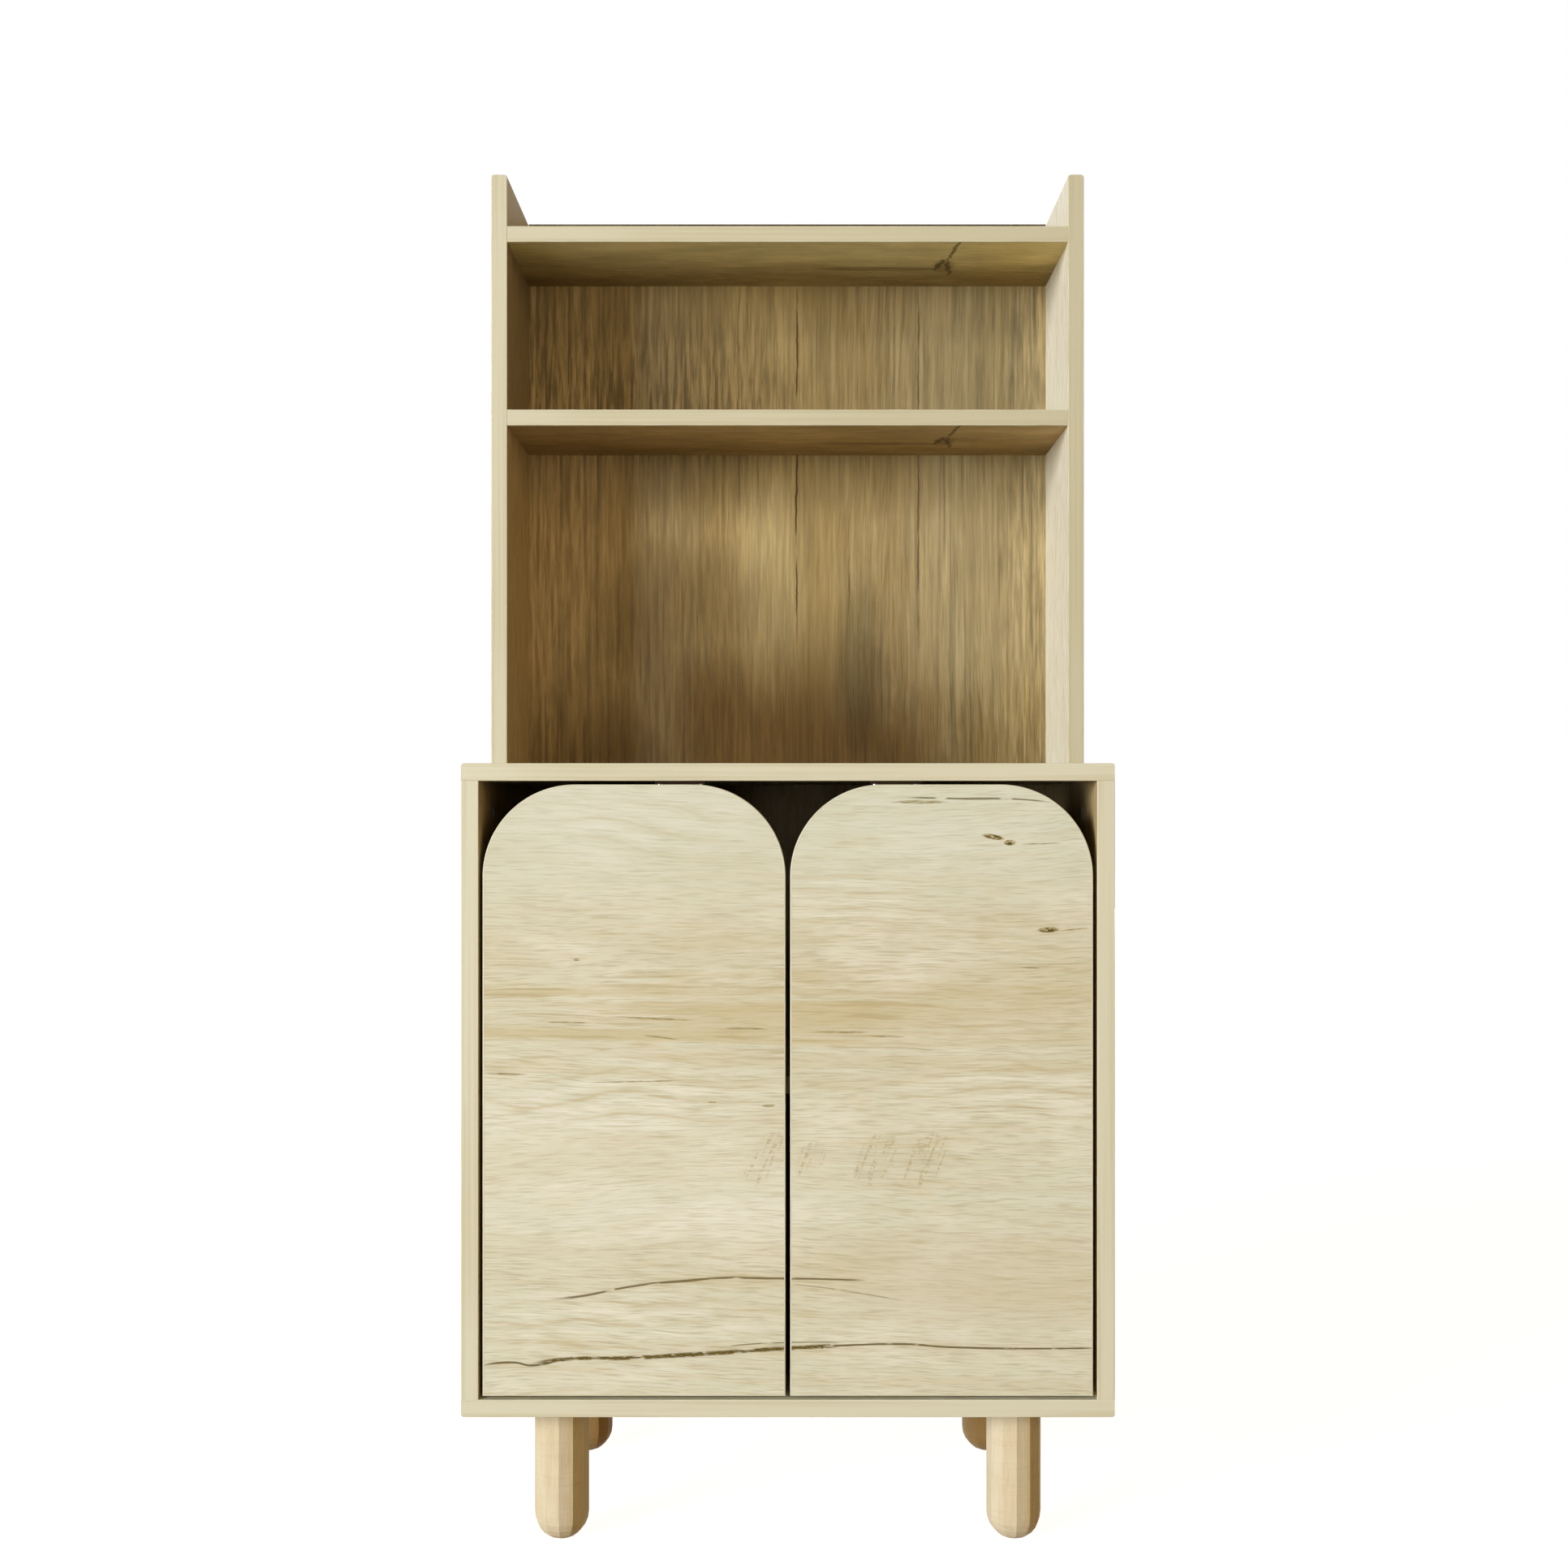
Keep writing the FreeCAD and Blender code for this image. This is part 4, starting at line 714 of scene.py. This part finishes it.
# %% Shelf finish
MID_SHELF_HEIGHT = 1.2325
SHELF_OAK_IN_SHADE = ((0.53, 0.415, 0.205), (0.4, 0.285, 0.11), BROWN_DARK, (0.57, 0.46, 0.245))
MID_SHELF_FRONT_LIGHT = (0.86, 0.755, 0.49)
TOP_SHELF_FRONT_LIGHT = (0.93, 0.86, 0.51)
RIGHT_END_SHADE = (0.82, 0.74, 0.56)
LEFT_END_SHADE = (0.8, 0.78, 0.7)
MID_SHELF_SHADE = (0.87, 0.78, 0.69)
TRAIL_AND_SHADE_BROWN = (0.15, 0.098, 0.032)
FORK_BROWN = (0.06, 0.038, 0.01)
FORK = ((0.03, 0.193, 0.062, 0.003, -0.1), (0.105, 0.192, 0.04, 0.0042, 0.14),
        (0.092, 0.18, 0.032, 0.005, -0.14))
shelf_oak, shader, where = new_finish("shelf_oak")
grain = oak_grain(where, X, Y, 8.4)
x, y, z = where.parts()
ragged_x = x + (where.noise((0.0, 70.0, 0.0)) - 0.5) * 0.012
fork = streaks(y, ragged_x, FORK)
# The underside: brown painted shade overall, painted light towards the front, and painted shade at the top
# shelf's ends and on the middle shelf.
top_shelf = z.step(1.3, 1.4)
front_painted_light = y.step(0.16, 0.0) * (top_shelf * 0.6 + 0.35)
colour = oak_colour(grain, *SHELF_OAK_IN_SHADE).coated((front_painted_light, top_shelf.tint(MID_SHELF_FRONT_LIGHT, TOP_SHELF_FRONT_LIGHT)))
colour = colour.toned(top_shelf * x.step(0.1, 0.28), RIGHT_END_SHADE)
colour = colour.toned(top_shelf * x.step(-0.2, -0.31), LEFT_END_SHADE)
knot = streak(x, y, 0.186, 0.098, 0.017, 0.036) * 0.6
trail = streak(x, y, 0.11, 0.108, 0.11, 0.012).step(0.0, 0.9) * 0.6
# Painted shade towards the back, in the same brown as the printed trail and knot.
rear_shade = y.step(0.07, 0.17) * 0.45
colour = colour.coated((rear_shade.most(trail).most(knot), TRAIL_AND_SHADE_BROWN))
colour = colour.times(grain.fibres.step(0.7, 0.3) * 0.18 + 0.91,
                      grain.clouds.step(0.3, 0.7) * 0.34 + 0.83)
colour = colour.toned(z.step(1.32, 1.28), MID_SHELF_SHADE)
upper_face = near(z, TRAY_HEIGHT).most(near(z, MID_SHELF_HEIGHT))
colour = colour.coated((fork.step(0.0, 0.9) * 0.7, FORK_BROWN), (upper_face, oak_colour(grain, *OAK)))
oak_surface(shader, colour, grain)
finish_nodes(shelf_oak, "hutch_top_shelf", "hutch_mid_shelf")

# %% [markdown]
# ## Legs
# The legs are turned from solid wood and then planed to twelve flat sides. Solid wood is a little darker
# and warmer than the printed boards, with close upright grain and faint level marks from the planer. The
# rear pair has a brown painted shade on its front half, and each leg has a yellower painted shade on its
# right side. The front ones' ridges are rubbed pale. A Bevel node could find a ridge, but the angle of a
# point about the leg's axis is quicker.

# %% Leg finish
LEG_X = 0.2415
FRONT_LEG_Y = -0.129
LEG_SIDES = 12
RIDGE_TURN = 0.5
LEG_OAK = ((0.69, 0.615, 0.45), (0.63, 0.53, 0.345), (0.44, 0.33, 0.165), (0.76, 0.71, 0.57))
PLAIN_DARK = (0.64, 0.545, 0.365)
PLAIN_LIGHT = (0.705, 0.625, 0.455)
PLANER_BROWN = (0.5, 0.385, 0.21)
REAR_PAINTED_SHADE = (0.3, 0.172, 0.045)
RIGHT_PAINTED_SHADE = (0.9, 0.81, 0.59)
WORN_WOOD = (0.8, 0.74, 0.59)
leg_oak, shader, where = new_finish("leg_oak")
grain = oak_grain(where, Z, X, 21.3)
x, y, _ = where.parts()
plain_wood = grain.clouds.step(0.3, 0.7).tint(PLAIN_DARK, PLAIN_LIGHT)
planer_marks = where.noise((30.0, 30.0, 420.0), 1.0)
# Painted shade, brown, on the front half of the rear legs.
browner = y.step(0.04, 0.1) * y.step(0.178, 0.118) * 0.88
colour = oak_colour(grain, *LEG_OAK).coated(
    (grain.bands * 0.3 + 0.4, plain_wood),
    (planer_marks.step(0.52, 0.68) * 0.12, PLANER_BROWN),
    (browner, REAR_PAINTED_SHADE))
from_axis = x - x.math("SIGN") * LEG_X
# Painted shade, darker and yellower, on the right side of each leg.
colour = colour.toned(from_axis.step(0.004, 0.02), RIGHT_PAINTED_SHADE)
turn = (y - FRONT_LEG_Y).math("ARCTAN2", x.size() - LEG_X)
from_ridge = (turn * LEG_SIDES / (2 * pi) + RIDGE_TURN).math("PINGPONG", 0.5)
worn_ridge = from_ridge.step(0.06, 0.0) * where.noise((60.0, 60.0, 60.0)).step(0.4, 0.6)
colour = colour.coated((worn_ridge * y.step(0.02, -0.02) * 0.25, WORN_WOOD))
oak_surface(shader, colour, grain)
finish_nodes(leg_oak, "front_left_leg", "rear_left_leg", "front_right_leg", "rear_right_leg",
             "base_dowels", "hutch_dowels")

# %% [markdown]
# ## Edge bands
# The edges of such boards are covered with a thin strip, glued on and rounded over: plainer than the faces,
# with faint grain along its length. Every front edge that the photograph shows has one, and so do the doors
# all round. A band is a profile carried along a path: the profile is the board's rounded edge, a tenth of a
# millimetre proud, and the path is the edge. A modifier could bevel a box to much the same shape, but it
# could not follow a door's arch or taper where a board's corner is rounded.

# %% Band surface
EDGE_ROUND = 0.0008
BAND_PROUD = 0.00012
BAND_LIP = 0.0013
BAND_SUNK = 0.0004
ROUND_STEPS = 5


def band_profile():
    """Half of a band's section, from lip to middle: inset from the board's face and reach past its edge.

    The rounded part is a quarter circle about (r, -r) with radius r + proud: inset = r - (r + proud) cos(t)
    and reach = (r + proud) sin(t) - r, with t from 0 to a right angle."""
    turn = np.linspace(0.0, pi / 2, ROUND_STEPS)
    radius = EDGE_ROUND + BAND_PROUD
    inset = EDGE_ROUND - radius * np.cos(turn)
    reach = radius * np.sin(turn) - EDGE_ROUND
    lip_inset = np.array([BAND_SUNK, -BAND_PROUD])
    lip_reach = np.array([-BAND_LIP, -BAND_LIP])
    return np.concatenate([lip_inset, inset]), np.concatenate([lip_reach, reach])


def grid_mesh(name, points):
    """A mesh from k grids of m by n points, (k, m, n, 3), closed round their n and capped at their ends."""
    index = np.arange(points.size // 3).reshape(points.shape[:3])
    following = np.roll(index, -1, axis=2)
    corners = [index[:, :-1], following[:, :-1], following[:, 1:], index[:, 1:]]
    quads = np.stack(corners, axis=-1).reshape(-1, 4)
    caps = np.concatenate([index[:, 0, ::-1], index[:, -1]])
    mesh = bpy.data.meshes.new(name)
    mesh.from_pydata(points.reshape(-1, 3).tolist(), [], quads.tolist() + caps.tolist())
    mesh.validate()
    return mesh


def band_mesh(name, path, out, across, low, high):
    """A band along a path of (m, 3) points with outward directions; across is the way through the board.

    low and high are the board's half thicknesses on both sides of the path. A point of the surface is
    path + across * offset + out * reach, where offset runs from -low + inset to high - inset, or back where
    the faces would point inwards."""
    inset, reach = band_profile()
    lower = -low[:, None] + inset[None, :]
    upper = (high[:, None] - inset[None, :])[:, ::-1]
    offsets = np.concatenate([lower, upper], axis=1)
    reaches = np.concatenate([reach, reach[::-1]])
    if np.dot(np.cross(path[1] - path[0], across), out[0]) > 0:
        offsets, reaches = offsets[:, ::-1], reaches[::-1]
    points = path[:, None, :] + offsets[:, :, None] * across + reaches[None, :, None] * out[:, None, :]
    mesh = grid_mesh(name, points[None])
    length = np.concatenate([[0.0], np.cumsum(np.linalg.norm(np.diff(path, axis=0), axis=1))])
    u = np.repeat(length, offsets.shape[1])
    v = offsets.reshape(-1)
    corner = np.zeros(len(mesh.loops), dtype=np.int32)
    mesh.loops.foreach_get("vertex_index", corner)
    layer = mesh.uv_layers.new(name="along_band")
    layer.data.foreach_set("uv", np.stack([u[corner], v[corner]], axis=1).ravel())
    return mesh


print(f"band section of {2 * len(band_profile()[0])} points")

# %% Band finish
BAND_PALE = (0.668, 0.664, 0.515)
BAND_TAN = (0.556, 0.518, 0.35)
BAND_SHADE = (0.42, 0.375, 0.22)
BAND_RUBBED = (0.79, 0.78, 0.66)
BAND_BUMP = 0.00008
band_oak, shader, where = new_finish("band_oak")
along_band = Wire(where.socket.node.outputs["UV"])
place_on_part = where.noise((1.3, 1.3, 1.3), 0.0)
band_seed = along_band.moved(Z, place_on_part * 3.0)
faint = band_seed.noise((2.5, 210.0, 1.0), 3.0, 0.55)
patches = band_seed.noise((4.0, 30.0, 1.0), 1.0)
grain = faint.step(0.38, 0.68) * 0.6 + patches.step(0.4, 0.75) * 0.4
x, _, z = where.parts()
# Painted shade on the hutch's bands, stronger towards the right.
painted_shade_on_hutch = z.step(COUNTER_HEIGHT, 0.83) * (x.step(-0.3, 0.33) * 0.25 + 0.2)
across_band = along_band.parts()[1].size()
rubbed = across_band.step(0.0074, 0.0088) * band_seed.noise((30.0, 200.0, 1.0)).step(0.35, 0.65)
colour = grain.tint(BAND_PALE, BAND_TAN).coated((painted_shade_on_hutch, BAND_SHADE), (rubbed * 0.4, BAND_RUBBED))
set_inputs(shader, base_color=colour, roughness=faint * 0.12 + 0.42)
raise_grain(shader, faint, BAND_BUMP)


def add_band(name, body, path, out, across, low, high):
    mesh = band_mesh(name, path, out, np.array(across), low, high)
    mesh.materials.append(band_oak)
    piece = bpy.data.objects.new(name, mesh)
    scene.collection.objects.link(piece)
    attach(piece, body)
    print(f"{name}: {len(mesh.polygons)} faces")


print("band finish along each strip")

# %% Front bands of the boards
CORNER_ROUND = 0.003
FRONT_STEPS = 61
TO_FRONT = (0.0, -1.0, 0.0)


def corner_drop(distance):
    """How far a rounded corner has fallen at a distance d from the end: r - sqrt(r^2 - (r - d)^2)."""
    into = np.clip(CORNER_ROUND - distance, 0.0, CORNER_ROUND)
    return CORNER_ROUND - np.sqrt(CORNER_ROUND ** 2 - into ** 2)


def front_band(node, length_axis, low_corners=(), high_corners=()):
    """A band along a board's front edge. The corners say which ends, 0 or 1, are rounded on each face.

    The path's steps lie closer towards the ends: share = (sin(t) + 1) / 2, with t over half a turn."""
    low, high = (np.array(corner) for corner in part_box(node))
    thin_axis = X if length_axis == Z else Z
    share = np.sin(np.linspace(-pi / 2, pi / 2, FRONT_STEPS)) * 0.5 + 0.5
    distance = share * (high[length_axis] - low[length_axis])
    path = np.tile((low + high) / 2, (FRONT_STEPS, 1))
    path[:, Y] = low[Y]
    path[:, length_axis] = low[length_axis] + distance
    half_thickness = np.full(FRONT_STEPS, (high[thin_axis] - low[thin_axis]) / 2)
    ends = (corner_drop(distance), corner_drop(distance[-1] - distance))
    lower = half_thickness - sum(ends[end] for end in low_corners)
    upper = half_thickness - sum(ends[end] for end in high_corners)
    out = np.tile(TO_FRONT, (FRONT_STEPS, 1))
    add_band(f"{node}_band", "carcass", path, out, np.eye(3)[thin_axis], lower, upper)


front_band("base_left_side", Z)
front_band("base_right_side", Z)
front_band("base_top", X, high_corners=(0, 1))
front_band("base_bottom", X, low_corners=(0, 1))
front_band("inner_shelf", X)
front_band("hutch_left_side", Z, low_corners=(1,), high_corners=(1,))
front_band("hutch_right_side", Z, low_corners=(1,), high_corners=(1,))
front_band("hutch_top_shelf", X)
front_band("hutch_mid_shelf", X)

# %% Bands of the doors
SIDES = ("left", "right")
ARCH_RADIUS = 0.095
ARCH_STEPS = 33
TO_REAR = (0.0, 1.0, 0.0)
DOWN = (0.0, 0.0, -1.0)


def arch_path(left, right, low, top):
    """Up the left side, over two quarter circles and a level run, and down the right side of a door.

    A corner's points are centre + r (cos t, sin t), and the outward direction there is (cos t, sin t)."""
    turn_left = np.linspace(pi, pi / 2, ARCH_STEPS)
    turn_right = np.linspace(pi / 2, 0.0, ARCH_STEPS)
    turns = np.concatenate([[pi], turn_left, turn_right, [0.0]])
    middles = np.full((len(turns), 2), (left + ARCH_RADIUS, top - ARCH_RADIUS))
    middles[len(turns) // 2:, 0] = right - ARCH_RADIUS
    middles[[0, -1], 1] = low
    way = np.stack([np.cos(turns), np.sin(turns)], axis=1)
    return middles + ARCH_RADIUS * way, way


def in_door_plane(flat, y):
    """Points given as (x, z), put at one depth."""
    return np.stack([flat[:, 0], np.full(len(flat), y), flat[:, 1]], axis=1)


for side in SIDES:
    leaf = f"{side}_door_leaf"
    low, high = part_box(f"{side}_door")
    depth = (low.y + high.y) / 2
    spots, ways = arch_path(low.x, high.x, low.z, high.z)
    thickness = np.full(len(spots), (high.y - low.y) / 2)
    add_band(f"{side}_door_arch_band", leaf, in_door_plane(spots, depth), in_door_plane(ways, 0.0), TO_REAR,
             thickness, thickness)
    sill = np.array([(low.x, depth, low.z), (high.x, depth, low.z)])
    add_band(f"{side}_door_sill_band", leaf, sill, np.tile(DOWN, (2, 1)), TO_REAR,
             thickness[:2], thickness[:2])

# %% [markdown]
# ## Steel, plastic and magnets
# The hinges are nickel plated: bright, with fine brushing from the press. Screws, cams and strike plates
# are zinc plated, which is duller and faintly mottled. The catches are dark brown plastic with a ferrite
# magnet, and the caps over the hutch's screws are printed to match the oak. A plain grey would do from far
# off, but an open door brings the hinges close, so edges are worn bright and faces mottled.

# %% Metal and plastic finishes
EDGE_WEAR = (0.995, 0.85)
METAL_WEAR_RADIUS = 0.0004
PLASTIC_WEAR_RADIUS = 0.0005
BRUSH_DEPTH = 0.00003
SPECK_DEPTH = 0.00005
PLASTIC_SHINE = 0.2


def worn_edges(shader, radius):
    """One on sharp edges and zero on flat faces: how far a rounded normal leans from the face's own."""
    tree = shader.id_data
    rounded = tree.nodes.new("ShaderNodeBevel")
    rounded.inputs["Radius"].default_value = radius
    face = Wire(tree.nodes.new("ShaderNodeNewGeometry").outputs["Normal"])
    return Wire(rounded.outputs[0]).vector_math("DOT_PRODUCT", face, output="Value").step(*EDGE_WEAR)


def plated(name, colour, dull, brushing):
    """Plated steel: a metal whose roughness is streaked one way by brushing and clouded by the plating."""
    material, shader, where = new_finish(name)
    brushed = where.noise(brushing)
    cloud = where.noise((90.0, 90.0, 90.0))
    shade = tuple(value * 0.82 for value in colour)
    bright = tuple(min(value * 1.2, 0.95) for value in colour)
    plated_colour = (cloud * 0.6 + brushed * 0.4).step(0.35, 0.7).tint(colour, shade)
    plated_colour = plated_colour.coated((worn_edges(shader, METAL_WEAR_RADIUS) * 0.7, bright))
    dullness = brushed * 0.16 + cloud * 0.1 + dull
    set_inputs(shader, base_color=plated_colour, roughness=dullness, metallic=1.0)
    raise_grain(shader, brushed, BRUSH_DEPTH)
    return material


def moulded(name, colour, shade, roughness):
    """Moulded plastic with a fine spark-eroded texture."""
    material, shader, where = new_finish(name)
    speck = where.noise((900.0, 900.0, 900.0))
    cloud = where.noise((30.0, 30.0, 30.0), 1.0)
    rubbed_colour = tuple(value * 1.3 + 0.03 for value in colour)
    moulded_colour = (speck * 0.5 + cloud * 0.5).step(0.35, 0.65).tint(colour, shade)
    moulded_colour = moulded_colour.coated((worn_edges(shader, PLASTIC_WEAR_RADIUS) * 0.6, rubbed_colour))
    set_inputs(shader, base_color=moulded_colour, roughness=speck * 0.12 + roughness,
               specular_ior_level=PLASTIC_SHINE)
    raise_grain(shader, speck, SPECK_DEPTH)
    return material


nickel = plated("nickel_plate", (0.7, 0.69, 0.665), 0.16, (40.0, 40.0, 1400.0))
zinc = plated("zinc_plate", (0.62, 0.625, 0.61), 0.26, (300.0, 300.0, 300.0))
brown_plastic = moulded("brown_plastic", (0.075, 0.043, 0.02), (0.055, 0.032, 0.015), 0.42)
ferrite = moulded("ferrite", (0.05, 0.05, 0.054), (0.028, 0.028, 0.03), 0.55)
cap_oak = oak_board("cap_oak", Z, Y, 3.1)
print("two platings, two mouldings and a printed cap")


# %% Finish the fittings
def both(*pieces):
    """The names of pieces that come once for each door."""
    return [f"{side}_{piece}" for side in SIDES for piece in pieces]


finish_nodes(nickel, *both("hinge_arms", "hinge_plates", "hinge_cups", "hinge_pins"))
finish_nodes(zinc, "cam_bolts", "cam_locks", "base_screws", "hutch_side_screws", "counter_screws",
             "shelf_pins", "leg_hanger_bolts", "leg_insert_nuts")
finish_nodes(zinc, *both("hinge_plate_screws", "hinge_arm_screws", "hinge_cup_screws", "catch_screws",
                         "strike_plate", "strike_screw"))
finish_nodes(brown_plastic, *both("catch_housing"))
finish_nodes(ferrite, *both("catch_magnet"))
finish_nodes(cap_oak, "hutch_screw_caps")

# %% [markdown]
# ## Screws with crosses
# The small screws of hinges, catches and strikes are plain turned pieces in the CAD frame. Real ones have a
# domed head with a cross pressed into it for the driver. A screw is a surface of revolution, and the cross
# is a dip in its head: the height falls where the point lies inside either arm. A Boolean cut could do the
# same, but it leaves ragged faces on a dome. The places come from the CAD nodes, which the new screws
# replace.

# %% Screw surface
TURNS = 64
HEAD_RINGS = 20
HEAD_EYE = 0.01
CROSS_HALF_WIDTH = 0.15
CROSS_REACH = 0.62
CROSS_SOFT = 0.06
CROSS_DEPTH = 0.55
TIP_SHARE = 0.02
SCREW_GAP = 0.008


def arm(across, reach):
    """One inside an arm of the cross, falling to zero over a soft edge."""
    side = np.clip((CROSS_HALF_WIDTH - np.abs(across)) / CROSS_SOFT + 0.5, 0.0, 1.0)
    end = np.clip((CROSS_REACH - np.abs(reach)) / CROSS_SOFT + 0.5, 0.0, 1.0)
    return side * end


def screw_surface(head_radius, head_height, dome, shank_radius, length):
    """A screw about Z with its seat at height 0, as an (m, n, 3) grid of outline steps and angles.

    On the head, height = h (1 - dome (r / R)^2 - depth * cross), where cross is one inside either arm. Past
    the rim the outline is straight: down, in, along the shank, to a point."""
    share = np.linspace(HEAD_EYE, 1.0, HEAD_RINGS)[:, None]
    angle = np.linspace(0.0, 2 * pi, TURNS, endpoint=False)
    x = share * np.cos(angle)
    y = share * np.sin(angle)
    cross = np.maximum(arm(x, y), arm(y, x))
    height = head_height * (1.0 - dome * share ** 2 - CROSS_DEPTH * cross)
    head = np.stack([x * head_radius, y * head_radius, height], axis=-1)
    radii = np.array([head_radius, shank_radius, shank_radius, shank_radius * TIP_SHARE])[:, None]
    heights = np.array([0.0, 0.0, 2 * shank_radius - length, -length])
    levels = np.repeat(heights[:, None], TURNS, axis=1)
    shank = np.stack([radii * np.cos(angle), radii * np.sin(angle), levels], axis=-1)
    return np.concatenate([head, shank])[::-1]


def screw_places(node, spread):
    """Boxes of the separate screws in a CAD node, split where its points leave a gap along one axis."""
    mesh = nodes[node].data
    points = np.zeros(len(mesh.vertices) * 3)
    mesh.vertices.foreach_get("co", points)
    points = points.reshape(-1, 3)
    order = points[np.argsort(points[:, spread])]
    breaks = np.flatnonzero(np.diff(order[:, spread]) > SCREW_GAP) + 1
    return [(group.min(axis=0), group.max(axis=0)) for group in np.split(order, breaks)]


print(f"a screw's grid has {HEAD_RINGS + 4} rings of {TURNS} points")

# %% Place the screws
SHANK_RADIUS = 0.00175
HEAD_HEIGHT = 0.002
THIN_HEAD = 0.0012
ROUND_DOME = 0.45
LOW_DOME = 0.2
FLAT_DOME = 0.05


def add_screws(node, body, axis, toward, spread, head_height, dome):
    """Screws in place of a CAD node. Their heads point along one axis, toward its plus or its minus end."""
    grids = []
    for low, high in screw_places(node, spread):
        across = X if axis != X else Y
        head_radius = (high[across] - low[across]) / 2
        length = high[axis] - low[axis] - head_height
        shape = screw_surface(head_radius, head_height, dome, SHANK_RADIUS, length)
        turned = np.zeros_like(shape)
        turned[..., axis] = shape[..., Z] * toward
        turned[..., (axis + 1) % 3] = shape[..., X]
        turned[..., (axis + 2) % 3] = shape[..., Y] * toward
        seat = (low + high) / 2
        seat[axis] = (high[axis] - head_height) if toward > 0 else (low[axis] + head_height)
        grids.append(turned + seat)
    name = f"{node}_crossed"
    mesh = grid_mesh(name, np.stack(grids))
    mesh.materials.append(zinc)
    piece = bpy.data.objects.new(name, mesh)
    scene.collection.objects.link(piece)
    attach(piece, body)
    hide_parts(node)
    print(f"{name}: {len(grids)} screws, {len(mesh.polygons)} faces")


for side, inward in zip(SIDES, (1, -1)):
    leaf = f"{side}_door_leaf"
    add_screws(f"{side}_hinge_plate_screws", "carcass", X, inward, Z, HEAD_HEIGHT, ROUND_DOME)
    add_screws(f"{side}_hinge_arm_screws", "carcass", X, inward, Z, HEAD_HEIGHT, LOW_DOME)
    add_screws(f"{side}_hinge_cup_screws", leaf, Y, 1, Z, HEAD_HEIGHT, ROUND_DOME)
    add_screws(f"{side}_catch_screws", "carcass", Z, -1, X, HEAD_HEIGHT, ROUND_DOME)
    add_screws(f"{side}_strike_screw", leaf, Y, 1, Z, THIN_HEAD, FLAT_DOME)
